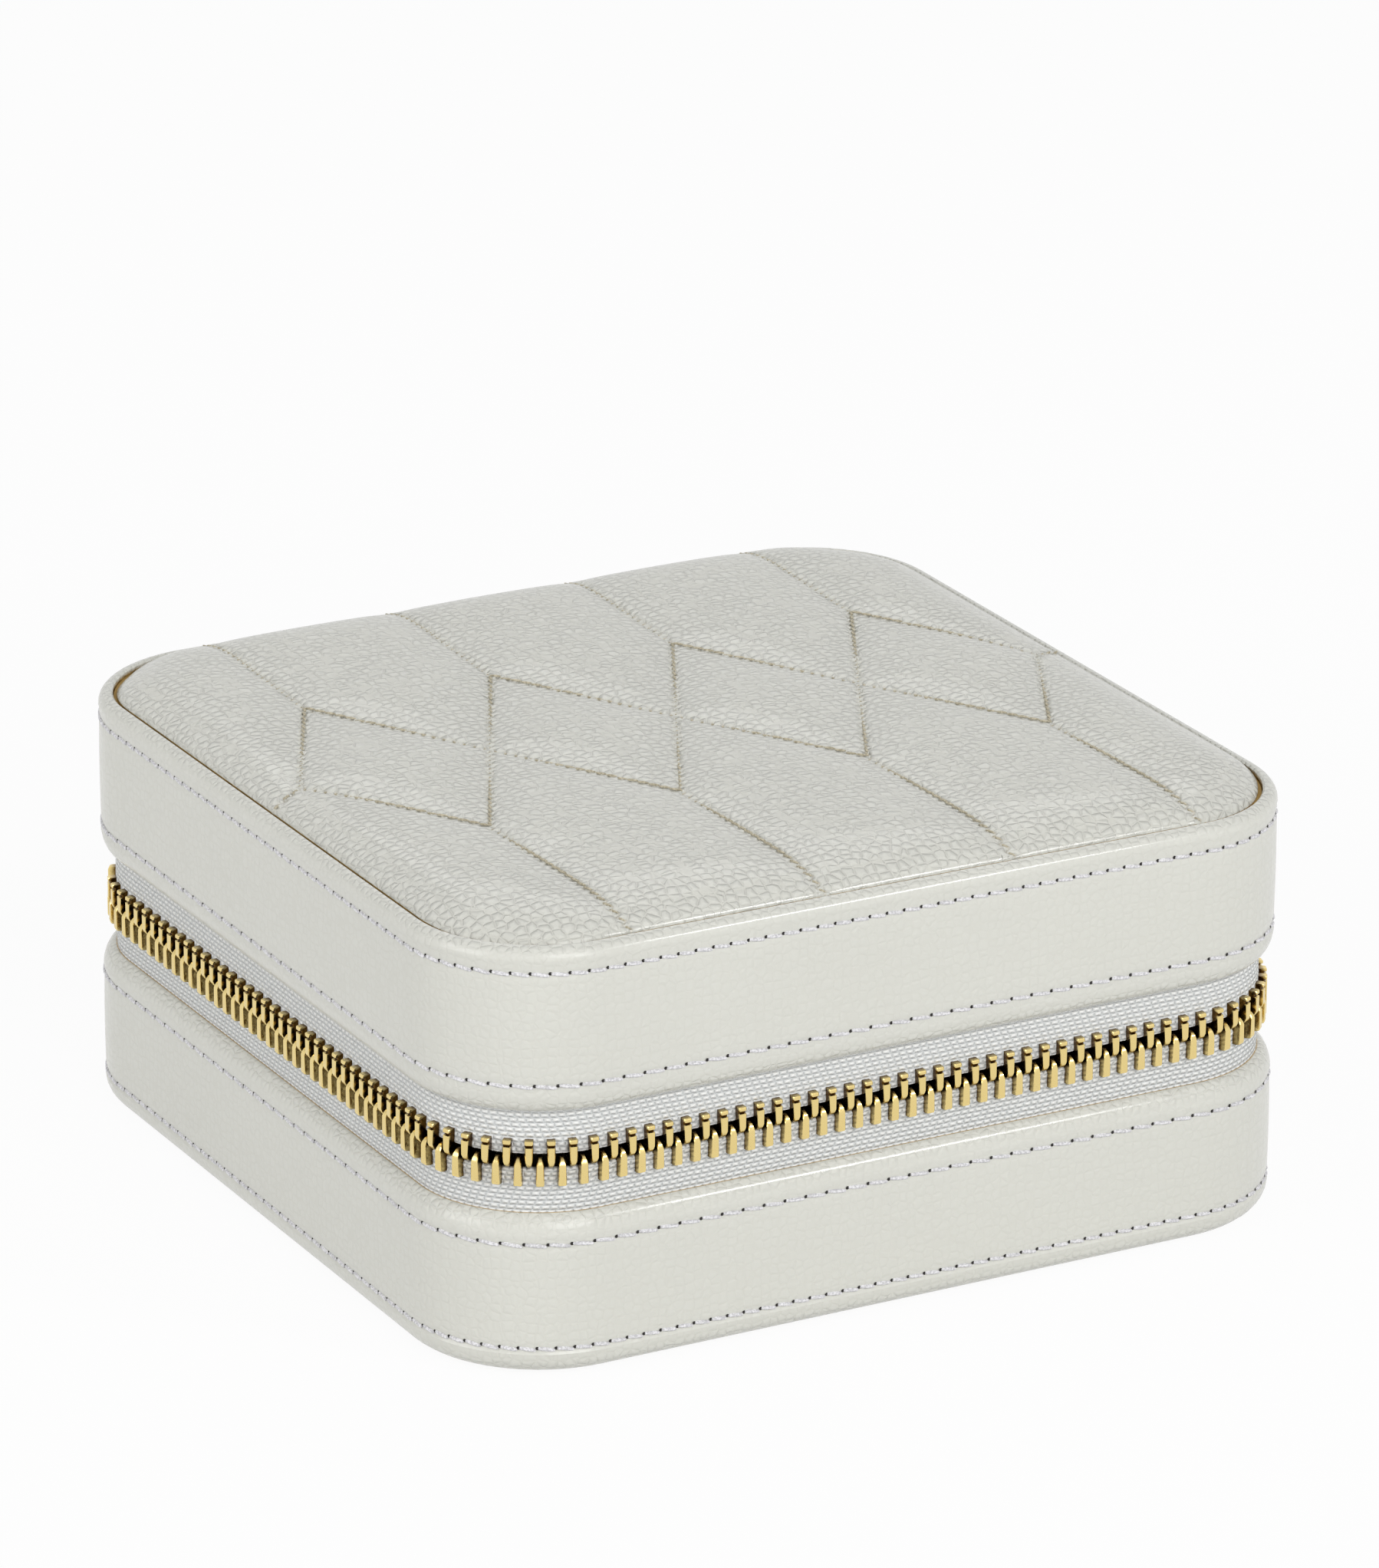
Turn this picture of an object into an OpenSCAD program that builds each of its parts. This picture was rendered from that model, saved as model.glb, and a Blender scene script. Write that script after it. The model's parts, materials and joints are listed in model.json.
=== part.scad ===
// Square leather jewellery case: a quilted lid on a base, a metal zip round three sides, and a
// leather spine that folds at two creases along the back.
// X runs from left to right, -Y is the front and +Z is up. The origin is the centre of the face
// that the case rests on. Insets are measured inwards from the outside face of the leather.

/* [Case] */
// Outside width and depth of the square case
case_side = 140; // [134:1:160]
// Outside corner radius in plan
corner_r = 21; // [19:0.5:24]
// Height of the base, from the table to its lip
base_h = 24.5; // [22:0.5:32]
// Height of the gap between the two lips, which the zip closes
gap_h = 15.5; // [14.5:0.5:20]
// Height of the lid, from its lip to its rim
lid_h = 25; // [22:0.5:32]

/* [Leather] */
// Thickness of the leather skins
leather_t = 1.2; // [0.9:0.1:1.6]
// Thickness of a lip, where the leather is turned in and doubled
lip_t = 2.2; // [2:0.1:2.6]
// Height of the turned-in leather behind a lip
lip_turn = 7.3; // [6:0.1:8]
// Height of the rolled edge of a lip
lip_roll = 3.7; // [2.5:0.1:3.8]
// Radius of the rounded lower edge of the base
foot_r = 3.5; // [2.5:0.1:3.8]
// Radius of the rounded rim of the lid
rim_r = 1.9; // [1.2:0.1:2]
// Height of the turned-in leather behind the rim
rim_turn = 2.8; // [2.4:0.1:4]

/* [Seams] */
// Distance from an edge of the leather to the seam beside it
seam_edge = 4.3; // [4.2:0.1:6]
// Distance from the rim of the lid to the seam below it
rim_seam = 3.8; // [3.4:0.1:5]
// Thickness of the sewing thread
thread_d = 0.4; // [0.3:0.05:0.6]
// Clearance between the thread and the channel that it lies in
thread_fit = 0.1; // [0.05:0.05:0.15]

/* [Boards and lining] */
// Thickness of the boards in the floor and in the top of the lid
board_t = 2; // [1.5:0.1:2.5]
// Thickness of the velvet lining
lining_t = 1; // [0.6:0.1:1.5]
// Distance of the lining's edge below the lip
lining_drop = 0.3; // [0.2:0.1:1]
// Thickness of the foam under the quilted panel
foam_t = 1.5; // [1:0.1:2]

/* [Quilted panel] */
// Width of the groove between the rim and the quilted panel
panel_fit = 0.3; // [0.2:0.05:0.6]
// Height of the upright edge of the quilted panel
panel_edge = 0.8; // [0.5:0.1:1.2]
// Rise of the panel's crown above its edge
crown_h = 2.4; // [1.8:0.1:3]
// Distance over which the crown rises
crown_run = 12; // [8:0.5:14]
// Distance between two neighbouring corners in a row of the quilting
quilt_pitch = 31; // [28:0.5:33]
// Distance between two rows of corners in the quilting
quilt_rise = 27.5; // [22:0.5:32]
// Width of a quilting channel at the top
channel_w = 2.6; // [1.6:0.1:3]
// Depth of a quilting channel below the crown
channel_d = 1; // [0.8:0.1:1.4]

/* [Zip] */
// Thickness of the woven tape
tape_t = 0.6; // [0.5:0.05:0.8]
// Clearance between the tape and the lip in front of it
tape_fit = 0.1; // [0.05:0.05:0.2]
// Distance from the tape's edge to the middle of the chain
tape_edge = 1.05; // [1.05:0.05:1.9]
// Distance between two neighbouring teeth of a row
tooth_pitch = 2.93; // [2.8:0.01:3.2]
// Width of a tooth along the chain
tooth_w = 1.2; // [1:0.05:1.25]
// Height of the whole chain across both rows
chain_h = 6.9; // [6.4:0.1:7.4]
// Inset of the outer face of the teeth
tooth_inset = 0.8; // [0.6:0.1:1]
// Thickness of a tooth, through the tape
tooth_t = 3.4; // [3:0.1:3.6]
// Reach of a tooth past the middle of the chain
tooth_reach = 0.75; // [0.5:0.05:0.8]
// Clearance between the jaws of a tooth and the tape
jaw_fit = 0.08; // [0.05:0.01:0.12]
// Angle that the chain turns into the back left corner
chain_turn = 36; // [28:1:40]
// Distance from the last tooth to the back right corner's arc
chain_end = 5; // [4.5:0.5:8]
// Length of an end stop along the chain
stop_l = 1.4; // [1:0.1:1.6]

/* [Slider and pull] */
// Length of the slider along the chain
slider_l = 13; // [12:0.5:14]
// Thickness of each wing of the slider
wing_t = 1.2; // [1:0.1:1.5]
// Clearance between the slider's channel and the chain
slider_fit = 0.3; // [0.25:0.05:0.35]
// Width of the flanges along the slider's edges
flange_w = 1.1; // [0.9:0.1:1.4]
// Gap between the flanges, which the tape runs through
flange_gap = 1.4; // [1.2:0.1:1.6]
// Width of the diamond that parts the teeth
diamond_w = 1.6; // [1.2:0.1:1.7]
// Length of the diamond along the chain
diamond_l = 3; // [2.4:0.1:3.2]
// Height of the pull's pin above the slider
pin_lift = 2; // [1.8:0.1:2.4]
// Width of the bail that holds the pin
bail_w = 2.2; // [1.8:0.1:2.6]
// Wall of the bail round its bore
bail_wall = 1.1; // [0.9:0.05:1.2]
// Radius of the pull's pin
pin_r = 0.7; // [0.6:0.05:0.8]
// Radial clearance of the pin in the bail
pin_fit = 0.08; // [0.05:0.01:0.1]
// Length of the pull from its pin to its end
pull_l = 26; // [20:1:30]
// Width of the pull
pull_w = 7; // [6.5:0.5:8]
// Thickness of the pull
pull_t = 1.3; // [1:0.1:1.35]
// Clearance between the bail and the arms of the pull
pull_fit = 0.3; // [0.2:0.05:0.4]

/* [Spine] */
// Thickness of the spine's leather
spine_t = 0.6; // [0.5:0.05:0.7]
// Thickness of the spine's lining
spine_lining_t = 0.6; // [0.4:0.05:0.8]
// Distance from a lip to the crease beside it
crease_lift = 0.9; // [0.85:0.05:1]
// Distance from a crease to the end of the panel between the creases
crease_end = 0.1; // [0.05:0.05:0.15]
// Clearance between the spine and what lies beside it
spine_fit = 0.3; // [0.2:0.05:0.5]

/* [Inside] */
// Thickness of the dividers
divider_t = 2.4; // [2:0.1:3.5]
// Height of the dividers above the lining
divider_h = 17.5; // [12:0.5:17.5]
// Number of compartments along the front
compartments = 3; // [3]
// Width of one ring roll
roll_w = 11; // [10:0.5:12]
// Height of one ring roll
roll_h = 14; // [12:0.5:16]
// Gap between neighbouring ring rolls, and between a roll and what is beside it
roll_fit = 0.5; // [0.4:0.1:1]
// Side of the square mirror
mirror_side = 96; // [80:1:104]
// Corner radius of the mirror
mirror_r = 8; // [5:0.5:12]
// Thickness of the mirror
mirror_t = 1.8; // [1.5:0.1:2.2]
// Width of the frame round the mirror
frame_w = 9; // [6:0.5:9]
// Thickness of the frame round the mirror
frame_t = 2.4; // [2.3:0.1:3]

/* [Hidden] */
$fn = 64;
// Points in each rounded stretch of a profile
arc_n = 6;
// Thickness of the layers that are cut away, past the faces that they cut
cut = 1;

half = case_side / 2;
arc_c = half - corner_r;
lid_z = base_h + gap_h;
rim_z = lid_z + lid_h;
zip_z = base_h + gap_h / 2;
tape_in = lip_t + tape_fit;
lining_in = tape_in + tape_t;
room_in = lining_in + lining_t;
board_top = leather_t + board_t;
floor_z = board_top + lining_t;
foam_z = rim_z - rim_turn;
ceiling_z = foam_z - board_t - lining_t;
panel_z = foam_z + foam_t;
panel_in = lip_t + panel_fit;
crown_in = panel_in + crown_run;
crown_z = panel_z + panel_edge + crown_h;
channel_z = crown_z - channel_d;
thread_gap = thread_d + thread_fit;
tape_low = base_h - lip_turn;
tape_mid = tape_in + tape_t / 2;
path_r = corner_r - tape_mid;
path_half = half - tape_mid;
quarter = path_r * PI / 2;
last_tooth = arc_c - chain_end;
run_right = last_tooth + arc_c;
run_side = 2 * arc_c;
run_back = path_r * chain_turn * PI / 180;
chain_l = run_right + quarter + run_side + quarter + run_side + run_back;
right_n = floor(run_right / tooth_pitch);
tooth_n = floor(chain_l / tooth_pitch);
crease_low = base_h + crease_lift;
crease_high = lid_z - crease_lift;
crease_y = half - lining_in;
tab_top = crease_low - sqrt(spine_t * spine_t + crease_end * crease_end) - crease_end;
spine_half = arc_c - spine_fit;
room_half = half - room_in;
roll_run = roll_w + roll_fit;
divider_y = room_half - 5 * roll_run - roll_fit - divider_t;
compartment_w = (2 * room_half - (compartments - 1) * divider_t) / compartments;
wing_out = half - tooth_inset + slider_fit;
wing_in = half - tooth_inset - tooth_t - slider_fit;
slider_y = last_tooth + diamond_l + stop_l - slider_l / 2;
slider_half = chain_h / 2 + slider_fit;
bail_r = pin_r + pin_fit + bail_wall;
pin_x = wing_out + wing_t + pin_lift;
pin_y = slider_y;

// Points along a quarter or half of an ellipse, in the order of the angles
function arc(cu, cz, ru, rz, a0, a1) =
    [for (i = [0:arc_n]) let (a = a0 + (a1 - a0) * i / arc_n) [cu + ru * cos(a), cz + rz * sin(a)]];

// A channel for thread in the outside face, listed downwards or upwards
function channel(z, up) =
    let (h = thread_gap / 2 * up) [[0, z - h], [thread_gap, z - h], [thread_gap, z + h], [0, z + h]];

// The place on the chain's path at a distance from its right end: x, y and the outward angle
function on_path(s) =
    let (s1 = s - run_right, s2 = s1 - quarter, s3 = s2 - run_side, s4 = s3 - quarter,
         s5 = s4 - run_side, turn = 180 / PI / path_r)
    s1 < 0 ? [path_half, last_tooth - s, 0]
    : s2 < 0 ? [arc_c + path_r * cos(s1 * turn), -arc_c - path_r * sin(s1 * turn), -s1 * turn]
    : s3 < 0 ? [arc_c - s2, -path_half, -90]
    : s4 < 0 ? [-arc_c - path_r * sin(s3 * turn), -arc_c - path_r * cos(s3 * turn), -90 - s3 * turn]
    : s5 < 0 ? [-path_half, -arc_c + s4, -180]
    : [-arc_c - path_r * cos(s5 * turn), arc_c + path_r * sin(s5 * turn), -180 - s5 * turn];

// A plate with round corners, at an inset from the case's outline
module plate(inset, low, high) {
    side = 2 * (half - inset);
    round_plate(side, corner_r - inset, low, high);
}

module round_plate(side, r, low, high) {
    translate([0, 0, low]) linear_extrude(high - low) {
        square([side, side - 2 * r], center = true);
        square([side - 2 * r, side], center = true);
        for (x = [-1, 1], y = [-1, 1])
            translate([x * (side / 2 - r), y * (side / 2 - r)]) circle(r);
    }
}

// A wall that runs round the case with one profile, given as insets and heights
module wall(profile) {
    for (k = [0:3]) rotate([0, 0, 90 * k]) {
        translate([arc_c, arc_c, 0]) rotate_extrude(angle = 90)
            polygon([for (p = profile) [corner_r - p[0], p[1]]]);
        rotate([90, 0, 0]) linear_extrude(2 * arc_c, center = true)
            polygon([for (p = profile) [half - p[0], p[1]]]);
    }
}

module band(in_0, in_1, low, high) {
    wall([[in_0, low], [in_1, low], [in_1, high], [in_0, high]]);
}

// Turns a piece of the base over into its twin in the lid
module in_lid() {
    translate([0, 0, 2 * zip_z]) mirror([0, 0, 1]) children();
}

// The stretch of the back that the spine fills, as a block to cut with
module spine_block(side_fit) {
    translate([-spine_half - side_fit, arc_c, 0])
        cube([2 * (spine_half + side_fit), corner_r + cut, rim_z]);
}

// ---- base ----

module base_bottom_leather() {
    color("ivory") plate(foot_r, 0, leather_t);
}

module base_floor_board() {
    color("tan") plate(foot_r, leather_t, board_top);
}

module base_wall_board() {
    color("tan") band(leather_t, lining_in, foot_r, tape_low);
}

module base_side_leather() {
    color("ivory") wall(concat(
        arc(foot_r, foot_r, foot_r - leather_t, foot_r - leather_t, 270, 180),
        [[leather_t, tape_low], [lip_t, tape_low]],
        arc(lip_t, base_h - lip_roll, lip_t, lip_roll, 90, 180),
        channel(base_h - seam_edge, -1),
        channel(seam_edge, -1),
        arc(foot_r, foot_r, foot_r, foot_r, 180, 270)));
}

module seam(z) {
    color("white") band(thread_fit, thread_gap, z - thread_d / 2, z + thread_d / 2);
}

module base_lower_seam() {
    seam(seam_edge);
}

module base_upper_seam() {
    seam(base_h - seam_edge);
}

module base_lining() {
    color("beige") {
        plate(lining_in, board_top, floor_z);
        band(lining_in, room_in, floor_z, base_h - lining_drop);
    }
}

module divider(x, y, length_x, length_y) {
    color("beige") translate([x, y, floor_z]) cube([length_x, length_y, divider_h]);
}

module divider_long() {
    divider(-room_half, divider_y, 2 * room_half, divider_t);
}

module divider_cross(i) {
    x = -room_half + i * compartment_w + (i - 1) * divider_t;
    divider(x, -room_half, divider_t, room_half + divider_y);
}

module divider_left() {
    divider_cross(1);
}

module divider_right() {
    divider_cross(2);
}

// A ring roll with a round back, cut to the round corners of the lining
module ring_roll(i) {
    y = divider_y + divider_t + roll_fit + (i - 1) * roll_run + roll_w / 2;
    color("beige") intersection() {
        plate(room_in + roll_fit, floor_z, base_h);
        translate([0, y, floor_z]) rotate([90, 0, 90]) linear_extrude(2 * half, center = true) {
            translate([-roll_w / 2, 0]) square([roll_w, roll_h - roll_w / 2]);
            translate([0, roll_h - roll_w / 2]) circle(roll_w / 2);
        }
    }
}

// ---- zip ----

module tape() {
    color("white") difference() {
        band(tape_in, lining_in, tape_low, zip_z - tape_edge);
        spine_block(0);
    }
}

module base_zip_tape() {
    tape();
}

module lid_zip_tape() {
    in_lid() tape();
}

// A clip on the tape's edge: jaws on both faces of the tape and a head that reaches high
module clip(width, high) {
    low = zip_z - chain_h / 2;
    jaw_top = zip_z - tape_edge + jaw_fit;
    outer = tape_mid - tooth_inset;
    inner = outer - tooth_t;
    jaw = tape_t / 2 + jaw_fit;
    rotate([90, 0, 0]) linear_extrude(width, center = true)
        polygon([[outer, low], [outer, high], [inner, high], [inner, low], [-jaw, low],
            [-jaw, jaw_top], [jaw, jaw_top], [jaw, low]]);
}

module place(s) {
    at = on_path(s);
    translate([at[0], at[1], 0]) rotate([0, 0, at[2]]) children();
}

// Teeth of one row; the row of the lid starts half a pitch further on
module teeth(first, last, shift) {
    color("goldenrod") for (i = [first:last])
        place((i + shift) * tooth_pitch) clip(tooth_w, zip_z + tooth_reach);
}

module end_stop(s) {
    color("goldenrod") place(s) clip(stop_l, zip_z - diamond_w / 2 - jaw_fit);
}

module base_zip_teeth() {
    teeth(right_n, tooth_n - 1, 0);
    end_stop(tooth_n * tooth_pitch);
}

module base_slider_teeth() {
    teeth(0, right_n - 1, 0);
    end_stop(-stop_l);
}

module lid_zip_teeth() {
    in_lid() teeth(right_n, tooth_n - 2, 0.5);
    in_lid() end_stop(tooth_n * tooth_pitch);
}

module lid_slider_teeth() {
    in_lid() teeth(0, right_n - 1, 0.5);
    in_lid() end_stop(-stop_l);
}

// ---- slider and pull ----

// Outline of a wing: narrow where the closed chain leaves, wide at the shoulders
module wing(low, high) {
    rear = slider_half + flange_w;
    front = rear + flange_w / 2;
    nose = slider_l / 2;
    translate([low, slider_y, zip_z]) rotate([90, 0, 90]) linear_extrude(high - low)
        polygon([[-nose, -rear + flange_w], [-nose + flange_w, -rear], [0, -rear],
            [nose - 2 * flange_w, -front], [nose - flange_w, -front], [nose, -front + flange_w],
            [nose, front - flange_w], [nose - flange_w, front], [nose - 2 * flange_w, front],
            [0, rear], [-nose + flange_w, rear], [-nose, rear - flange_w]]);
}

module flanges(low, high) {
    rear = slider_half + flange_w;
    for (side = [-1, 1])
        translate([low, slider_y - slider_l / 2 + flange_w, zip_z + side * (rear - flange_w / 2) - flange_w / 2])
            cube([high - low, slider_l - 2 * flange_w, flange_w]);
}

module zip_slider() {
    slot_out = half - tape_mid + flange_gap / 2;
    slot_in = half - tape_mid - flange_gap / 2;
    diamond_y = slider_y + slider_l / 2 - diamond_l / 2;
    color("goldenrod") {
        wing(wing_out, wing_out + wing_t);
        wing(wing_in - wing_t, wing_in);
        flanges(slot_out, wing_out);
        flanges(wing_in, slot_in);
        translate([wing_in, diamond_y, zip_z]) rotate([90, 0, 90]) linear_extrude(wing_out - wing_in)
            polygon([[-diamond_l / 2, 0], [0, -diamond_w / 2], [diamond_l / 2, 0], [0, diamond_w / 2]]);
    }
}

// The bail stands on the slider and holds the pull's pin in its bore
module slider_bail() {
    color("goldenrod") difference() {
        translate([pin_x, pin_y, zip_z]) linear_extrude(bail_w, center = true) {
            translate([-pin_lift, -bail_r]) square([pin_lift, 2 * bail_r]);
            circle(bail_r);
        }
        translate([pin_x, pin_y, zip_z]) cylinder(h = 2 * bail_w, r = pin_r + pin_fit, center = true);
    }
}

module pull_tab() {
    arm_in = bail_w / 2 + pull_fit;
    fork_l = bail_r + pull_fit;
    color("goldenrod") {
        difference() {
            translate([pin_x - pull_t / 2, pin_y, zip_z]) rotate([0, 90, 0]) linear_extrude(pull_t) {
                translate([-pull_w / 2, -pull_l + pull_w / 2]) square([pull_w, pull_l - pull_w / 2]);
                translate([0, -pull_l + pull_w / 2]) circle(pull_w / 2);
            }
            translate([pin_x - pull_t, pin_y - fork_l, zip_z - arm_in])
                cube([2 * pull_t, fork_l + cut, 2 * arm_in]);
            translate([pin_x, pin_y - pull_l + pull_w / 2, zip_z]) rotate([0, 90, 0])
                cylinder(h = 2 * pull_t, r = pull_w / 4, center = true);
        }
        translate([pin_x, pin_y, zip_z]) cylinder(h = 2 * arm_in, r = pin_r, center = true);
    }
}

// ---- spine ----

module back_layer(in_0, in_1, low, high) {
    translate([-spine_half, half - in_1, low]) cube([2 * spine_half, in_1 - in_0, high - low]);
}

module hinge_tab() {
    color("ivory") back_layer(tape_in, tape_in + spine_t, tape_low, tab_top);
}

module base_hinge_tab() {
    hinge_tab();
}

module lid_hinge_tab() {
    in_lid() hinge_tab();
}

module spine_leather() {
    color("ivory")
        back_layer(lining_in - spine_t, lining_in, crease_low + crease_end, crease_high - crease_end);
}

module spine_lining() {
    color("beige") back_layer(lining_in, lining_in + spine_lining_t, crease_low + crease_end,
        crease_high - crease_end);
}

// ---- lid ----

module lid_side_leather() {
    color("ivory") wall(concat(
        [[leather_t, foam_z], [leather_t, lid_z + lip_turn], [lip_t, lid_z + lip_turn]],
        arc(lip_t, lid_z + lip_roll, lip_t, lip_roll, 270, 180),
        channel(lid_z + seam_edge, 1),
        channel(rim_z - rim_seam, 1),
        arc(rim_r, rim_z - rim_r, rim_r, rim_r, 180, 90),
        [[lip_t, rim_z], [lip_t, foam_z]]));
}

module lid_wall_board() {
    color("tan") band(leather_t, lining_in, lid_z + lip_turn, foam_z);
}

module lid_top_board() {
    color("tan") plate(lining_in, foam_z - board_t, foam_z);
}

module lid_foam() {
    color("whitesmoke") plate(panel_in, foam_z, panel_z);
}

// A straight run of the quilting, from one point to another, with a profile across it
module run(from, to, profile) {
    d = to - from;
    translate([from[0], from[1], 0]) rotate([0, 0, atan2(d[1], d[0])]) rotate([90, 0, 90])
        linear_extrude(norm(d)) polygon(profile);
}

// The quilting's seams: long diamonds across the middle, straight runs to the front and back
module quilting(profile, edge_in) {
    edge = half - edge_in;
    for (i = [-1.5:1.5], side = [-1, 1]) {
        corner = [i * quilt_pitch, side * quilt_rise];
        run(corner, [i * quilt_pitch, side * edge], profile);
        run([(i - 0.5) * quilt_pitch, 0], corner, profile);
        run([(i + 0.5) * quilt_pitch, 0], corner, profile);
    }
    for (side = [-1, 1]) run([side * 2 * quilt_pitch, 0], [side * edge, 0], profile);
}

module quilted_panel() {
    floor_w = thread_gap + thread_fit;
    color("ivory") difference() {
        union() {
            wall(concat([[crown_in, panel_z], [panel_in, panel_z]],
                arc(crown_in, crown_z - crown_h, crown_run, crown_h, 180, 90)));
            plate(crown_in, panel_z, crown_z);
        }
        quilting([[-floor_w / 2, channel_z], [floor_w / 2, channel_z],
            [channel_w / 2, crown_z + thread_fit], [-channel_w / 2, crown_z + thread_fit]], 0);
    }
}

// Thread that lies on the floor of the quilting's channels
module quilting_thread() {
    color("white") intersection() {
        quilting([[-thread_d / 2, channel_z], [thread_d / 2, channel_z],
            [thread_d / 2, channel_z + thread_d], [-thread_d / 2, channel_z + thread_d]], 0);
        plate(panel_in + crown_run / 2, panel_z, crown_z);
    }
}

module lid_lower_seam() {
    seam(lid_z + seam_edge);
}

module lid_upper_seam() {
    seam(rim_z - rim_seam);
}

module lid_lining() {
    color("beige") {
        plate(lining_in, ceiling_z, ceiling_z + lining_t);
        band(lining_in, room_in, lid_z + lining_drop, ceiling_z);
    }
}

module mirror_frame() {
    color("beige") difference() {
        round_plate(mirror_side + 2 * frame_w, mirror_r + frame_w, ceiling_z - frame_t, ceiling_z);
        round_plate(mirror_side, mirror_r, ceiling_z - frame_t - cut, ceiling_z + cut);
    }
}

module mirror_glass() {
    color("silver") round_plate(mirror_side, mirror_r, ceiling_z - mirror_t, ceiling_z);
}

base_bottom_leather();
base_floor_board();
base_wall_board();
base_side_leather();
base_lower_seam();
base_upper_seam();
base_lining();
divider_long();
divider_left();
divider_right();
ring_roll(1);  // ring_roll_1
ring_roll(2);  // ring_roll_2
ring_roll(3);  // ring_roll_3
ring_roll(4);  // ring_roll_4
ring_roll(5);  // ring_roll_5
base_zip_tape();
base_zip_teeth();
base_slider_teeth();
base_hinge_tab();
lid_side_leather();
lid_wall_board();
lid_top_board();
lid_foam();
quilted_panel();
quilting_thread();
lid_lower_seam();
lid_upper_seam();
lid_lining();
mirror_frame();
mirror_glass();
lid_zip_tape();
lid_zip_teeth();
lid_slider_teeth();
lid_hinge_tab();
spine_leather();
spine_lining();
zip_slider();
slider_bail();
pull_tab();
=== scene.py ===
"""Looks of a square quilted leather jewellery case, built round its fixed frame.

The frame gives every solid's place. The leather, the quilted panel, the zip, the spine and the
velvet inside are modelled here in metres, each sub-assembly by a class of its own, and every
surface takes a procedural finish.
"""

from __future__ import annotations

import json
import logging
import math
import random
from dataclasses import dataclass
from enum import Enum
from typing import Any, Callable, Iterable, Sequence

import bmesh
import bpy
import numpy as np
from bmesh.types import BMEdge, BMesh, BMVert
from mathutils import Matrix, Vector

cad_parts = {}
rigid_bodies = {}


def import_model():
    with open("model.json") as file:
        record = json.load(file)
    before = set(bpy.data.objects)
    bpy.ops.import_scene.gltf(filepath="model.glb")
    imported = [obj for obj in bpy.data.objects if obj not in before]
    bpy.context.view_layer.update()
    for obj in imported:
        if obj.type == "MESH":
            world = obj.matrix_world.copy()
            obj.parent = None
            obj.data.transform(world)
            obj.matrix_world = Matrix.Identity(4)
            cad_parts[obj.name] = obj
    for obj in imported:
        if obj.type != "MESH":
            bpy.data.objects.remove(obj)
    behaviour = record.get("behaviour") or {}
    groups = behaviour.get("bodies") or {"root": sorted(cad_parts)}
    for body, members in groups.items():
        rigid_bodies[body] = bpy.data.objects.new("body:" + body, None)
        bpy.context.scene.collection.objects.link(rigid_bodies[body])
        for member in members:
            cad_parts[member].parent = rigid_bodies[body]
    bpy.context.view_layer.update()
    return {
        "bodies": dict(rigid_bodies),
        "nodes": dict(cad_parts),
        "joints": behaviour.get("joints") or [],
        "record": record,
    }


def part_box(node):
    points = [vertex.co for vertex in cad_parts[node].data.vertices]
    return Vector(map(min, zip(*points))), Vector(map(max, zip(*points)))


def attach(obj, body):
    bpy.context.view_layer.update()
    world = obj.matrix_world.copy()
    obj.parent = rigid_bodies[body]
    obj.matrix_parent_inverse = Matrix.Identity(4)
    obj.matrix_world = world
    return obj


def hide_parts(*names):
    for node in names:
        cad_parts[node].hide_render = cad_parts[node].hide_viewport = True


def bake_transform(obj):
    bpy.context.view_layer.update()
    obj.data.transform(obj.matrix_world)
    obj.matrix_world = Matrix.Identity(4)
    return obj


LOG = logging.getLogger("jewellery_case")
MM = 0.001
TINY = 0.001 * MM
CORNER_R = 21 * MM
Profile = Sequence[tuple[float, float]]
Colour = tuple[int, int, int]


class Slot(Enum):
    """The record's material slots."""

    LEATHER = "leather"
    BOARD = "board"
    THREAD = "thread"
    TAPE = "zip_tape"
    BRASS = "brass"
    VELVET = "velvet"
    FOAM = "foam"
    MIRROR = "mirror"


class Body(Enum):
    """The bodies that a piece can ride on."""

    BASE = "base"
    SPINE = "spine"
    LID = "lid"
    SLIDER = "slider"
    PULL = "pull"


# ---- sizes -----------------------------------------------------------------------------------


@dataclass(frozen=True)
class CaseSizes:
    """Places that the pieces share, in metres, read from the frame."""

    half: float
    corner_r: float
    base_top: float
    lid_low: float
    rim_top: float
    groove_low: float
    zip_mid: float
    tape_in: float
    lining_in: float
    room_in: float
    panel_in: float
    panel_low: float

    @classmethod
    def from_frame(cls) -> CaseSizes:
        """Works the sizes out from the boxes of the solids.

        Returns:
            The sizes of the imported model.
        """
        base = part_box("base_side_leather")
        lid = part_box("lid_side_leather")
        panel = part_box("quilted_panel")
        half = base[1][0]
        return cls(
            half=half,
            corner_r=CORNER_R,
            base_top=base[1][2],
            lid_low=lid[0][2],
            rim_top=lid[1][2],
            groove_low=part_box("lid_foam")[0][2],
            zip_mid=(base[1][2] + lid[0][2]) / 2,
            tape_in=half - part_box("base_zip_tape")[1][0],
            lining_in=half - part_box("base_lining")[1][0],
            room_in=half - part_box("divider_long")[1][0],
            panel_in=half - panel[1][0],
            panel_low=panel[0][2],
        )

    @property
    def outline(self) -> Outline:
        """The leather's outline in plan."""
        return Outline(self.half, self.corner_r)


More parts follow.
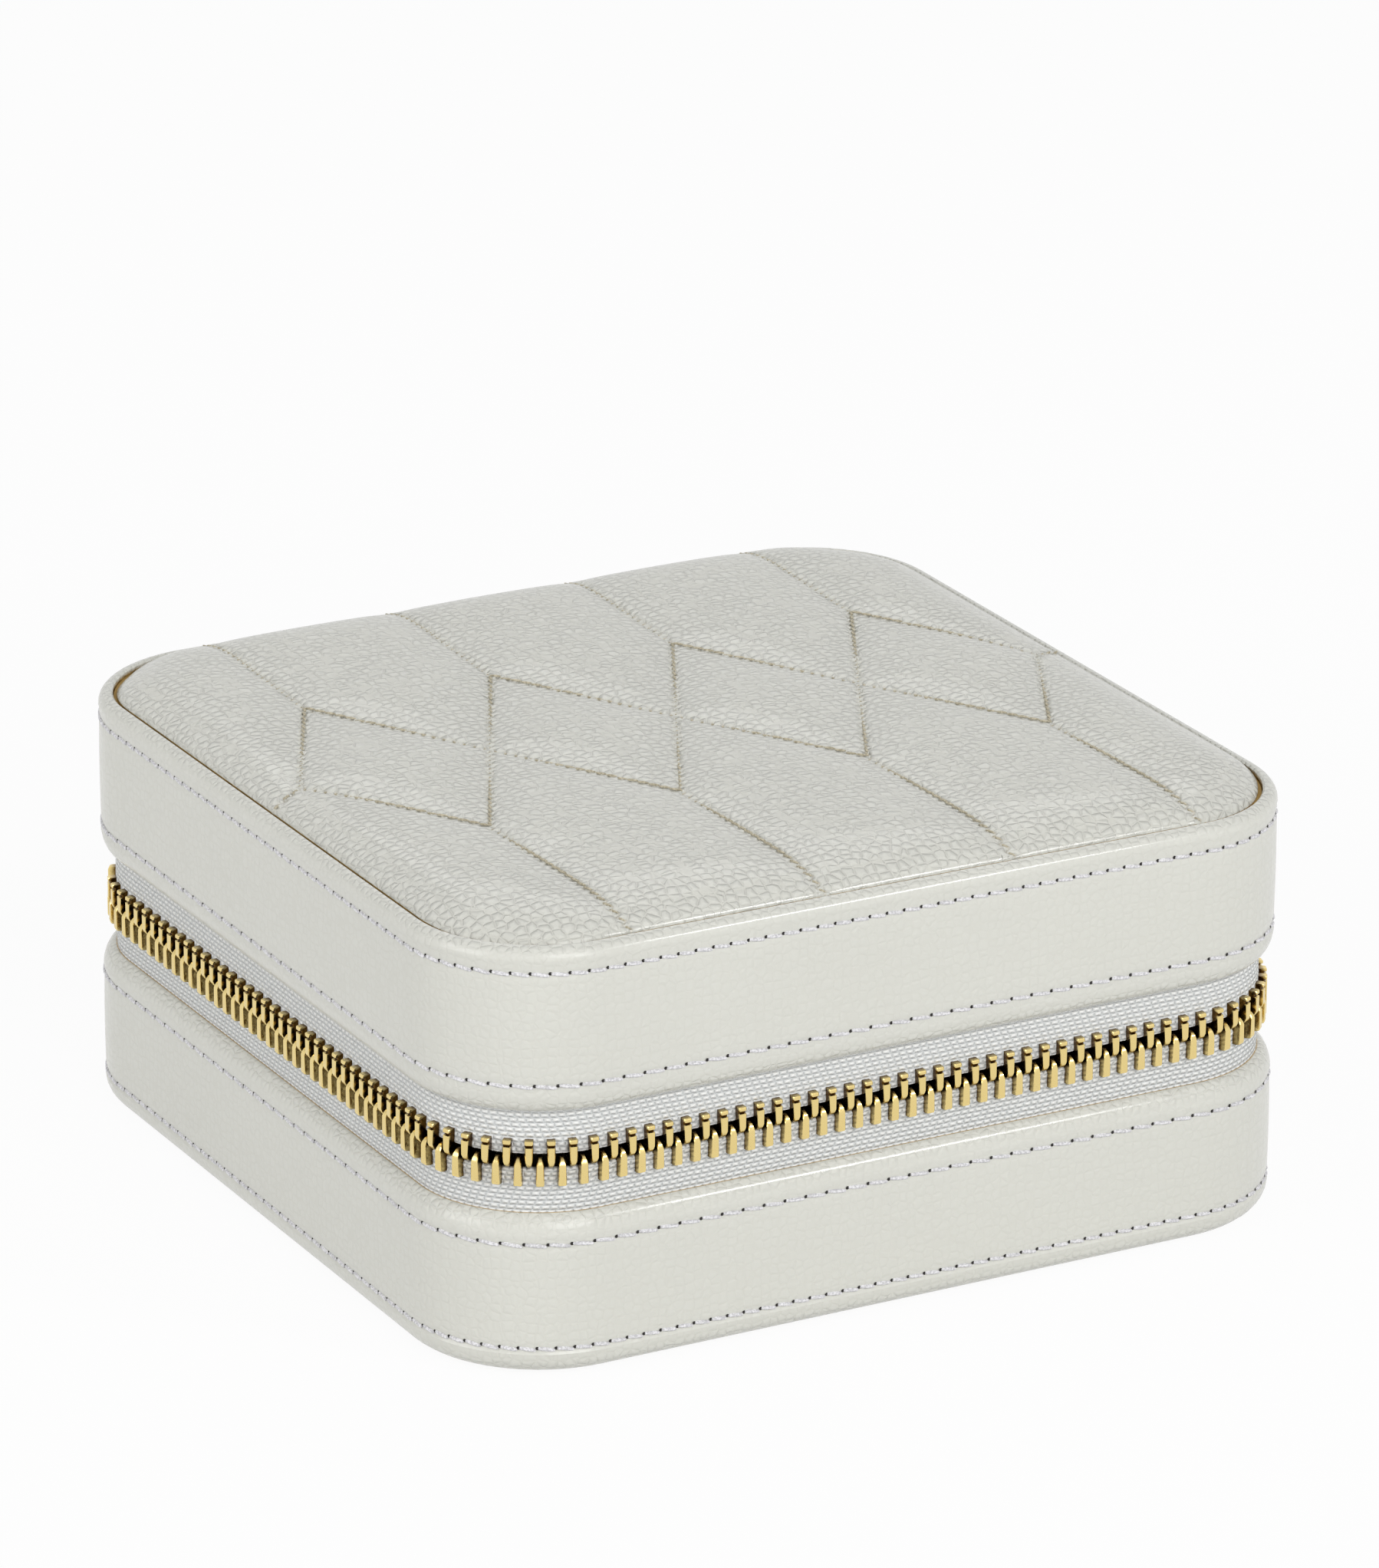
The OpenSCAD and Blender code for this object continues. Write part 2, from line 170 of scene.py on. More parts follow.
@dataclass(frozen=True)
class Outline:
    """A square with round corners, followed clockwise from the middle of the back."""

    half: float
    radius: float

    @property
    def arc_c(self) -> float:
        """Distance of the corner arcs' centres from the middle."""
        return self.half - self.radius

    @property
    def quarter(self) -> float:
        """Length of one corner arc."""
        return self.radius * math.pi / 2

    @property
    def side(self) -> float:
        """Length of one straight side and the arc after it."""
        return 2 * self.arc_c + self.quarter

    @property
    def length(self) -> float:
        """Length all the way round."""
        return 4 * self.side

    def inset(self, distance: float) -> Outline:
        """The same outline, further in by a distance."""
        return Outline(self.half - distance, self.radius - distance)

    def at(self, s: float) -> tuple[Vector, float]:
        """Finds a place on the outline.

        Args:
            s: Distance along the outline, clockwise from the middle of the back.

        Returns:
            The point in plan and the angle of the outward normal.
        """
        run = (s + self.arc_c) % self.length
        turn, rest = divmod(run, self.side)
        turned = -turn * math.pi / 2
        if rest < 2 * self.arc_c:
            point, normal = Vector((rest - self.arc_c, self.half, 0)), math.pi / 2
        else:
            normal = math.pi / 2 - (rest - 2 * self.arc_c) / self.radius
            point = Vector((self.arc_c + self.radius * math.cos(normal),
                            self.arc_c + self.radius * math.sin(normal), 0))
        return Matrix.Rotation(turned, 3, "Z") @ point, normal + turned

    def stand(self, s: float, height: float) -> Matrix:
        """A place on the outline, at a height, that looks outwards along X."""
        point, angle = self.at(s)
        return Matrix.Translation((point.x, point.y, height)) @ Matrix.Rotation(angle, 4, "Z")

    def inside(self, xy: np.ndarray) -> np.ndarray:
        """How far points in plan, one per row, lie inside the outline."""
        q = np.abs(xy) - self.arc_c
        return self.radius - np.hypot(*np.maximum(q, 0).T) - np.minimum(np.max(q, axis=1), 0)

    def along(self, x: float, y: float) -> float:
        """Finds how far along the outline a point in plan lies.

        Args:
            x: Place from left to right.
            y: Place from front to back.

        Returns:
            The distance of the point's foot, clockwise from the middle of the back.
        """
        for turn in range(4):
            u, v = x, y
            for _ in range(turn):
                u, v = -v, u
            if v >= abs(u) or (v > self.arc_c and abs(u) <= self.arc_c):
                angle = 0.0
                if u > self.arc_c:
                    angle = math.pi / 2 - math.atan2(v - self.arc_c, u - self.arc_c)
                elif u < -self.arc_c:
                    angle = math.pi / 2 - math.atan2(v - self.arc_c, -self.arc_c - u)
                    return (turn * self.side - self.arc_c - angle * self.radius) % self.length
                straight = min(u, self.arc_c)
                return (turn * self.side + straight + angle * self.radius) % self.length
        return 0.0


# ---- meshes ----------------------------------------------------------------------------------


def verts_of(geometry: Iterable[Any]) -> list[BMVert]:
    """The vertices among what an operator gave back."""
    return [item for item in geometry if isinstance(item, BMVert)]


def edges_of(geometry: Iterable[Any]) -> list[BMEdge]:
    """The edges among what an operator gave back."""
    return [item for item in geometry if isinstance(item, BMEdge)]


def push(bm: BMesh, edges: list[BMEdge], step: Sequence[float]) -> list[BMEdge]:
    """Extrudes edges along a straight step.

    Args:
        bm: Mesh to work in.
        edges: Edges to extrude.
        step: How far the new edges lie from the old ones.

    Returns:
        The new edges.
    """
    made = bmesh.ops.extrude_edge_only(bm, edges=edges)["geom"]
    verts = verts_of(made)
    bmesh.ops.translate(bm, verts=verts, vec=step)
    fresh = set(verts)
    return [edge for edge in edges_of(made) if set(edge.verts) <= fresh]


def swing(bm: BMesh, edges: list[BMEdge], centre: Sequence[float], steps: int) -> list[BMEdge]:
    """Turns edges clockwise through a quarter about an upright axis and skins their path.

    Args:
        bm: Mesh to work in.
        edges: Edges to turn.
        centre: A point on the axis.
        steps: Number of faces along the path.

    Returns:
        The edges at the end of the path.
    """
    ends = list(dict.fromkeys(vert for edge in edges for vert in edge.verts))
    made = bmesh.ops.spin(bm, geom=ends + edges, cent=centre, axis=(0, 0, 1), dvec=(0, 0, 0),
                          angle=-math.pi / 2, steps=steps, use_merge=False, use_duplicate=False)
    return edges_of(made["geom_last"])


def sweep_round(profile: Profile, outline: Outline, closed: bool, gap: float = 0.0,
                steps: int = 16, pieces: int = 8) -> BMesh:
    """Sweeps a profile of insets and heights round the outline.

    Args:
        profile: Pairs of inset and height.
        outline: The outline that an inset of zero follows.
        closed: Whether the profile's last point joins its first.
        gap: Half the width of the stretch of the back that is left open.
        steps: Number of faces round a corner.
        pieces: Number of faces along a straight side.

    Returns:
        The swept mesh, with its open ends closed.
    """
    bm = bmesh.new()
    c = outline.arc_c
    start = [bm.verts.new((gap, outline.half - inset, height)) for inset, height in profile]
    edges = [bm.edges.new(pair) for pair in zip(start, start[1:])]
    if closed:
        edges.append(bm.edges.new((start[-1], start[0])))
    legs = [((1, 0), c - gap), ((0, -1), 2 * c), ((-1, 0), 2 * c), ((0, 1), 2 * c)]
    centres = [(c, c, 0), (c, -c, 0), (-c, -c, 0), (-c, c, 0)]
    for (direction, length), centre in zip(legs, centres):
        for _ in range(pieces):
            step = length / pieces
            edges = push(bm, edges, (direction[0] * step, direction[1] * step, 0))
        edges = swing(bm, edges, centre, steps)
    for _ in range(pieces):
        edges = push(bm, edges, ((c - gap) / pieces, 0, 0))
    bmesh.ops.remove_doubles(bm, verts=bm.verts, dist=2 * TINY)
    rims = [edge for edge in bm.edges if edge.is_boundary]
    if rims:
        bmesh.ops.holes_fill(bm, edges=rims, sides=0)
    bmesh.ops.recalc_face_normals(bm, faces=bm.faces)
    return bm


def ellipse(centre: tuple[float, float], radii: tuple[float, float], start: float, end: float,
            count: int = 6) -> list[tuple[float, float]]:
    """Finds points on a stretch of an ellipse.

    Args:
        centre: Middle of the ellipse.
        radii: Its half axes.
        start: Angle of the first point in degrees.
        end: Angle of the last point in degrees.
        count: Number of steps between them.

    Returns:
        The points in order.
    """
    turns = [math.radians(start + (end - start) * i / count) for i in range(count + 1)]
    return [(centre[0] + radii[0] * math.cos(a), centre[1] + radii[1] * math.sin(a))
            for a in turns]


def unroll(bm: BMesh, outline: Outline, middle_z: float) -> None:
    """Gives a swept mesh a UV map in metres: along the outline, and up.

    Args:
        bm: Mesh to map.
        outline: The outline that lengths are taken along.
        middle_z: Height that counts as zero.
    """
    layer = bm.loops.layers.uv.new("flow")
    for face in bm.faces:
        middle = face.calc_center_median()
        home = outline.along(middle.x, middle.y)
        for loop in face.loops:
            x, y, z = loop.vert.co
            s = outline.along(x, y)
            s += round((home - s) / outline.length) * outline.length
            loop[layer].uv = (s, z - middle_z)


def shade(bm: BMesh, layer_name: str, value_at: Callable[[np.ndarray], np.ndarray]) -> None:
    """Stores one number per vertex, which a finish reads by name.

    Args:
        bm: Mesh to mark.
        layer_name: Name of the measure.
        value_at: Gives the measures at places, one per row.
    """
    layer = bm.verts.layers.float.new(layer_name)
    values = value_at(np.array([vert.co[:] for vert in bm.verts]))
    for vert, value in zip(bm.verts, values):
        vert[layer] = value


def round_edges(bm: BMesh, edges: Iterable[BMEdge], offset: float, segments: int,
                clamp: bool = True) -> None:
    """Bevels edges.

    Args:
        bm: Mesh to work in.
        edges: Edges to round.
        offset: How far the rounding reaches along the faces.
        segments: Number of faces across it.
        clamp: Whether it stops short of what it would run into.
    """
    bmesh.ops.bevel(bm, geom=list(edges), offset=offset, offset_type="OFFSET", segments=segments,
                    profile=0.5, affect="EDGES", material=-1, clamp_overlap=clamp)


def as_mesh(bm: BMesh, name: str) -> bpy.types.Mesh:
    """Turns a bmesh into a mesh.

    Args:
        bm: Finished mesh, which is freed.
        name: Name of the new mesh.

    Returns:
        The new mesh.
    """
    mesh = bpy.data.meshes.new(name)
    bm.to_mesh(mesh)
    bm.free()
    return mesh


def put(name: str, data: bpy.types.ID) -> bpy.types.Object:
    """Adds an object to the scene.

    Args:
        name: Name of the object.
        data: Its mesh, lamp or camera.

    Returns:
        The object, at the origin.
    """
    item = bpy.data.objects.new(name, data)
    bpy.context.scene.collection.objects.link(item)
    return item


def repeat(pattern: BMesh, places: Iterable[Matrix]) -> BMesh:
    """Copies a small mesh to many places.

    Args:
        pattern: The mesh to copy, which is freed.
        places: Where the copies go.

    Returns:
        All the copies as one mesh.
    """
    stamp = as_mesh(pattern, "stamp")
    bm = bmesh.new()
    for place in places:
        stamp.transform(place)
        bm.from_mesh(stamp)
        stamp.transform(place.inverted())
    bpy.data.meshes.remove(stamp)
    return bm


def bead(segments: int, rings: int, blunt: float = 0.0) -> BMesh:
    """A small ball with a radius of one, with its poles along Y.

    Args:
        segments: Faces round it.
        rings: Faces from pole to pole.
        blunt: How much fuller its ends are than a ball's, from 0 to 1.

    Returns:
        The ball.
    """
    bm = bmesh.new()
    bmesh.ops.create_uvsphere(bm, u_segments=segments, v_segments=rings, radius=1,
                              matrix=Matrix.Rotation(math.pi / 2, 4, "X"))
    for vert in bm.verts:
        across = math.hypot(vert.co.x, vert.co.z)
        if across > TINY:
            fuller = across ** -blunt
            vert.co.x *= fuller
            vert.co.z *= fuller
    return bm


def hand_over(bm: BMesh, name: str, finish: Finish, smooth: float = 35) -> bpy.types.Object:
    """Turns a bmesh into an object of the scene.

    Args:
        bm: Finished mesh, which is freed.
        name: Name of the piece.
        finish: Its finish.
        smooth: Angle in degrees up to which edges are shaded smooth.

    Returns:
        The new object, at the origin.
    """
    for face in bm.faces:
        face.smooth = True
    mesh = as_mesh(bm, name)
    mesh.set_sharp_from_angle(angle=math.radians(smooth))
    piece = put(name, mesh)
    mesh.materials.append(finish.material())
    LOG.info("%s: %d faces", name, len(mesh.polygons))
    return piece


def stand_in(piece: bpy.types.Object, body: Body, *nodes: str) -> bpy.types.Object:
    """Lets a piece ride on a body in the place of the frame's nodes.

    Args:
        piece: The piece.
        body: The body.
        nodes: Names of the nodes that it replaces, if any.

    Returns:
        The same piece.
    """
    if nodes:
        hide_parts(*nodes)
    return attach(piece, body.value)


# ---- finishes --------------------------------------------------------------------------------


def linear(colour: Iterable[int]) -> tuple[float, ...]:
    """Turns a display colour into the renderer's linear colour.

    Args:
        colour: Red, green and blue from 0 to 255.

    Returns:
        The same with each part from 0 to 1, and a full alpha.
    """
    parts = [value / 255 for value in colour]
    return *(v / 12.92 if v <= 0.04045 else ((v + 0.055) / 1.055) ** 2.4 for v in parts), 1.0


class Wire:
    """A shader value that can be written in sums."""

    def __init__(self, paint: Paint, socket: bpy.types.NodeSocket) -> None:
        """Keeps the socket and the painter that it belongs to."""
        self.paint = paint
        self.socket = socket

    def through(self, operation: str, other: Any = 0.0) -> Wire:
        """What a Math node makes of this value, and of another where it takes two."""
        return self.paint.node("ShaderNodeMath", {"operation": operation}, {0: self, 1: other})

    def beside(self, name: str) -> Wire:
        """Another output of the same node."""
        return Wire(self.paint, self.socket.node.outputs[name])

    def __add__(self, other: Any) -> Wire:
        """self + other"""
        return self.through("ADD", other)

    __radd__ = __add__

    def __sub__(self, other: Any) -> Wire:
        """self - other"""
        return self.through("SUBTRACT", other)

    def __rsub__(self, other: Any) -> Wire:
        """other - self"""
        return self * -1 + other

    def __mul__(self, other: Any) -> Wire:
        """self * other"""
        return self.through("MULTIPLY", other)

    __rmul__ = __mul__

    def __truediv__(self, other: Any) -> Wire:
        """self / other"""
        return self.through("DIVIDE", other)

    def __pow__(self, other: Any) -> Wire:
        """self ** other"""
        return self.through("POWER", other)


class Paint:
    """Adds nodes to one material's tree."""

    def __init__(self, tree: bpy.types.NodeTree) -> None:
        """Keeps the tree."""
        self.tree = tree

    def node(self, kind: str, settings: dict[str, Any] | None = None,
             inputs: dict[int | str, Any] | None = None, out: int | str = 0) -> Wire:
        """Adds a node.

        Args:
            kind: Type of the node.
            settings: Attributes that are set before the sockets.
            inputs: Values or wires for its input sockets.
            out: The output socket that is wanted.

        Returns:
            That output socket as a wire.
        """
        node = self.tree.nodes.new(kind)
        for key, value in (settings or {}).items():
            setattr(node, key, value)
        for key, value in (inputs or {}).items():
            if isinstance(value, Wire):
                self.tree.links.new(value.socket, node.inputs[key])
            else:
                node.inputs[key].default_value = value
        return Wire(self, node.outputs[out])

    def mix(self, factor: Any, first: Any, second: Any) -> Wire:
        """Mixes two colours."""
        return self.node("ShaderNodeMix", {"data_type": "RGBA"},
                         {0: factor, 6: first, 7: second}, 2)

    def place(self) -> Wire:
        """The point in the piece's own coordinates."""
        return self.node("ShaderNodeTexCoord", out="Object")

    def noise(self, vector: Wire, size: float, detail: float = 2.0) -> Wire:
        """Noise from 0 to 1 with features of a given size in metres."""
        return self.node("ShaderNodeTexNoise", None,
                         {"Vector": vector, "Scale": 1 / size, "Detail": detail}, "Fac")

    def attribute(self, name: str) -> Wire:
        """A number that the mesh stores at its vertices."""
        return self.node("ShaderNodeAttribute", {"attribute_name": name}, out="Fac")

    def warp(self, vector: Wire, size: float, reach: float) -> Wire:
        """Bends coordinates by noise.

        Args:
            vector: The coordinates.
            size: Size of the noise's features in metres.
            reach: How far a point moves at most, in metres.

        Returns:
            The bent coordinates.
        """
        noise = self.node("ShaderNodeTexNoise", None,
                          {"Vector": vector, "Scale": 1 / size}, "Color")
        centred = self.node("ShaderNodeVectorMath", {"operation": "SUBTRACT"},
                            {0: noise, 1: (0.5, 0.5, 0.5)})
        scaled = self.node("ShaderNodeVectorMath", {"operation": "SCALE"},
                           {0: centred, "Scale": 2 * reach})
        return self.node("ShaderNodeVectorMath", {"operation": "ADD"}, {0: vector, 1: scaled})

    def span(self, value: Wire, low: float, high: float, start: float = 0.0,
             end: float = 1.0) -> Wire:
        """Maps the stretch from low to high smoothly to start and end, and holds it there."""
        return self.node("ShaderNodeMapRange", {"interpolation_type": "SMOOTHSTEP"},
                         {"Value": value, "From Min": low, "From Max": high,
                          "To Min": start, "To Max": end})

    def bump(self, height: Wire, depth: float) -> Wire:
        """A normal for a height from 0 to 1 that stands a given depth in metres."""
        return self.node("ShaderNodeBump", None,
                         {"Strength": 1.0, "Distance": depth, "Height": height}, "Normal")


@dataclass(frozen=True)
class Finish:
    """A surface with a colour and a roughness."""

    name: str
    colour: Colour
    roughness: float
    slot: Slot

    @property
    def ground(self) -> tuple[float, ...]:
        """Its colour, linear."""
        return linear(self.colour)

    def darker(self, steps: int) -> tuple[float, ...]:
        """Its colour, darker by some steps of the display's 255, linear."""
        return linear(part - steps for part in self.colour)

    def constants(self) -> dict[str, Any]:
        """Values that are the same all over, by the shader's socket."""
        return {"Roughness": self.roughness}

    def wires(self, paint: Paint) -> dict[str, Wire]:
        """Finds the values that change over the surface.

        Args:
            paint: Adds nodes to the material.

        Returns:
            The values by the shader's socket.
        """
        patch, shade_share = 6 * MM, 0.93
        tone = paint.noise(paint.place(), patch)
        dark = *(shade_share * part for part in self.ground[:3]), 1.0
        return {"Base Color": paint.mix(tone, dark, self.ground)}

    def material(self) -> bpy.types.Material:
        """Makes the material once and gives it back from then on.

        Returns:
            The material of this finish.
        """
        if self.name in bpy.data.materials:
            return bpy.data.materials[self.name]
        material = bpy.data.materials.new(self.name)
        material.use_nodes = True
        shader = material.node_tree.nodes["Principled BSDF"]
        paint = Paint(material.node_tree)
        for socket, value in self.constants().items():
            shader.inputs[socket].default_value = value
        for socket, wire in self.wires(paint).items():
            material.node_tree.links.new(wire.socket, shader.inputs[socket])
        return material


@dataclass(frozen=True)
class Leather(Finish):
    """Coated leather with a pebble grain, fuller where it is rolled over an edge.

    The mesh says where: "rolled" is 1 on a roll, "raw" is 1 on a cut edge and marks painted seam
    shade.
    """

    grain: float = 1.4 * MM
    depth: float = 0.1 * MM
    flat_share: float = 1.0
    # Painted shade in the grain's creases: the colour they darken towards, and how much.
    valley: Colour = (182, 176, 160)
    crease_shade: float = 0.1
    # Brown of a cut edge, also mixed in as painted shade along the quilt's seams.
    raw: Colour = (172, 142, 84)
    gloss: float = 0.6
    patch: float = 26 * MM

    def constants(self) -> dict[str, Any]:
        """A thin glossy coat over the grain."""
        return {"Coat Weight": self.gloss, "Coat Roughness": 0.13, "Specular IOR Level": 0.25}

    def wires(self, paint: Paint) -> dict[str, Wire]:
        """Lays pebbles with fine creases between them, painted shade in those creases, and a brown
        cut edge.

        Args:
            paint: Adds nodes to the material.

        Returns:
            The values by the shader's socket.
        """
        place = paint.place()
        bent = paint.warp(place, 2.5 * self.grain, 0.25 * self.grain)
        edge = paint.node("ShaderNodeTexVoronoi", {"feature": "DISTANCE_TO_EDGE"},
                          {"Vector": bent, "Scale": 1 / self.grain, "Randomness": 0.6}, "Distance")
        groove, swell, creased = 0.16, 0.42, 0.33
        crease = paint.span(edge, 0.0, groove, 1.0, 0.0)
        pebble = paint.span(edge, 0.0, swell) * 0.62 - crease * creased + creased
        fine = paint.noise(place, 0.3 * self.grain, 3.0)
        fullness = paint.attribute("rolled") * (1 - self.flat_share) + self.flat_share
        cloud = paint.noise(place, self.patch, 3.0)
        worn = paint.mix(cloud, self.darker(4), self.ground)
        # Painted shade: the grain's creases darkened towards the valley colour.
        crease_shaded = paint.mix(crease * self.crease_shade, worn, linear(self.valley))
        # A brown cut edge, and on the quilt painted shade along the seam creases.
        cut = paint.span(paint.attribute("raw"), 0.3, 0.9)
        return {
            "Base Color": paint.mix(cut, crease_shaded, linear(self.raw)),
            "Roughness": paint.span(crease + cloud * 0.3, 0.0, 1.2,
                                    self.roughness, self.roughness + 0.14),
            "Normal": paint.bump((pebble + fine * 0.15) * fullness, self.depth),
        }


@dataclass(frozen=True)
class Woven(Finish):
    """Woven tape: rows of plump floats, each row a step aside from the one below."""

    pick: float = 1.2 * MM
    row: float = 0.74 * MM
    step: float = 0.3
    plump: float = 0.8
    depth: float = 0.48 * MM
    shadow: Colour = (226, 229, 229)

    def constants(self) -> dict[str, Any]:
        """A soft sheen."""
        return {"Roughness": self.roughness, "Sheen Weight": 0.2}

    def wires(self, paint: Paint) -> dict[str, Wire]:
        """Lays floats that follow the piece's own map, along the tape and away from the teeth.

        Args:
            paint: Adds nodes to the material.

        Returns:
            The values by the shader's socket.
        """
        flow = paint.node("ShaderNodeUVMap", {"uv_map": "flow"}, out="UV")
        along = paint.node("ShaderNodeSeparateXYZ", None,
                           {0: paint.warp(flow, 2.5 * MM, 0.12 * MM)}, "X")
        rows = along.beside("Y").through("ABSOLUTE") / self.row
        uneven = paint.noise(flow, 3 * MM) * 0.5
        picks = along / self.pick - rows.through("FLOOR") * self.step + uneven
        lengthways = (picks.through("FRACT") * math.pi).through("SINE")
        crossways = (rows.through("FRACT") * math.pi).through("SINE")
        yarn = (lengthways ** self.plump) * (crossways ** self.plump)
        strand = paint.noise(flow, 0.25 * MM)
        return {
            "Base Color": paint.mix(paint.span(yarn, 0.05, 0.75), linear(self.shadow), self.ground),
            "Normal": paint.bump(yarn * 0.9 + strand * 0.1, self.depth),
        }


@dataclass(frozen=True)
class Brass(Finish):
    """Antique brass, dark where the mesh's "patina" says: tarnish, and painted shade in hollows."""

    # Colour of the tarnish and of the painted shade in the teeth's hollows.
    patina: Colour = (88, 62, 24)

    def constants(self) -> dict[str, Any]:
        """Solid metal."""
        return {"Metallic": 1.0}

    def wires(self, paint: Paint) -> dict[str, Wire]:
        """Lays tarnish and painted shade by the mesh's own measure, and fine wear.

        Args:
            paint: Adds nodes to the material.

        Returns:
            The values by the shader's socket.
        """
        place = paint.place()
        blot = paint.noise(place, 0.9 * MM, 3.0)
        # Tarnish and painted shade where the mesh's measure and the blots say.
        mask = paint.span(paint.attribute("patina") + blot * 0.5, 0.3, 1.2)
        return {
            "Base Color": paint.mix(mask, self.ground, linear(self.patina)),
            "Roughness": paint.span(blot, 0.3, 0.7, self.roughness - 0.06, self.roughness + 0.12),
            "Normal": paint.bump(paint.noise(place, 0.35 * MM), 0.02 * MM),
        }


@dataclass(frozen=True)
class Yarn(Finish):
    """Sewing thread."""

    twist: float = 0.35 * MM

    def wires(self, paint: Paint) -> dict[str, Wire]:
        """Lays fine plies that shade the thread a little.

        Args:
            paint: Adds nodes to the material.

        Returns:
            The values by the shader's socket.
        """
        ply = paint.noise(paint.place(), self.twist, 1.0)
        return {
            "Base Color": paint.mix(paint.span(ply, 0.3, 0.7), self.darker(42), self.ground),
            "Normal": paint.bump(ply, 0.08 * MM),
        }


@dataclass(frozen=True)
class Velvet(Finish):
    """Short-piled velvet whose nap lies in patches."""

    sheen: float = 0.55

    def constants(self) -> dict[str, Any]:
        """Sheen along grazing edges."""
        return {"Roughness": self.roughness, "Sheen Weight": self.sheen,
                "Sheen Roughness": 0.35, "Specular IOR Level": 0.15}

    def wires(self, paint: Paint) -> dict[str, Wire]:
        """Lays patches of brushed nap and a fine pile.

        Args:
            paint: Adds nodes to the material.

        Returns:
            The values by the shader's socket.
        """
        place = paint.place()
        nap = paint.noise(place, 14 * MM)
        pile = paint.noise(place, 0.35 * MM)
        tone = paint.span(nap * 0.7 + pile * 0.3, 0.3, 0.7)
        return {
            "Base Color": paint.mix(tone, self.darker(20), self.ground),
            "Normal": paint.bump(pile, 0.12 * MM),
        }


@dataclass(frozen=True)
class Looking(Finish):
    """Silvered glass with a faint haze."""

    haze: Colour = (228, 232, 234)

    def constants(self) -> dict[str, Any]:
        """A clean mirror."""
        return {"Metallic": 1.0}

    def wires(self, paint: Paint) -> dict[str, Wire]:
        """Lays a haze that varies slowly.

        Args:
            paint: Adds nodes to the material.

        Returns:
            The values by the shader's socket.
        """
        haze = paint.noise(paint.place(), 30 * MM)
        return {
            "Base Color": paint.mix(haze, linear(self.haze), self.ground),
            "Roughness": paint.span(haze, 0.3, 0.8, self.roughness, self.roughness + 0.03),
        }


SIDE_LEATHER = Leather("side_leather", (216, 216, 208), 0.38, Slot.LEATHER, depth=0.2 * MM,
                       flat_share=0.3, crease_shade=0.04, gloss=0.5)
QUILT_LEATHER = Leather("quilt_leather", (216, 216, 208), 0.36, Slot.LEATHER, grain=1.6 * MM,
                        depth=0.33 * MM, crease_shade=0.07, gloss=0.5)
SPINE_LEATHER = Leather("spine_leather_finish", (213, 213, 206), 0.42, Slot.LEATHER,
                        grain=0.9 * MM, depth=0.04 * MM)
TAPE = Woven("zip_tape_weave", (249, 250, 248), 0.75, Slot.TAPE)
BRASS = Brass("antique_brass", (230, 207, 141), 0.2, Slot.BRASS)
SEAM_THREAD = Yarn("white_thread", (236, 235, 238), 0.6, Slot.THREAD)
QUILT_THREAD = Yarn("tan_thread", (204, 196, 174), 0.7, Slot.THREAD)
# Painted shade: dark discs that stand for the shade inside the needle holes.
HOLE_SHADE = Finish("needle_hole", (42, 39, 38), 0.9, Slot.THREAD)
GLUE = Finish("edge_glue", (186, 152, 84), 0.8, Slot.LEATHER)
VELVET = Velvet("cream_velvet", (208, 198, 180), 0.9, Slot.VELVET)
BOARD = Finish("grey_board", (150, 134, 108), 0.85, Slot.BOARD)
FOAM = Finish("foam_sheet", (214, 205, 180), 0.9, Slot.FOAM)
GLASS = Looking("mirror_silver", (214, 220, 222), 0.02, Slot.MIRROR)


# ---- leather ---------------------------------------------------------------------------------


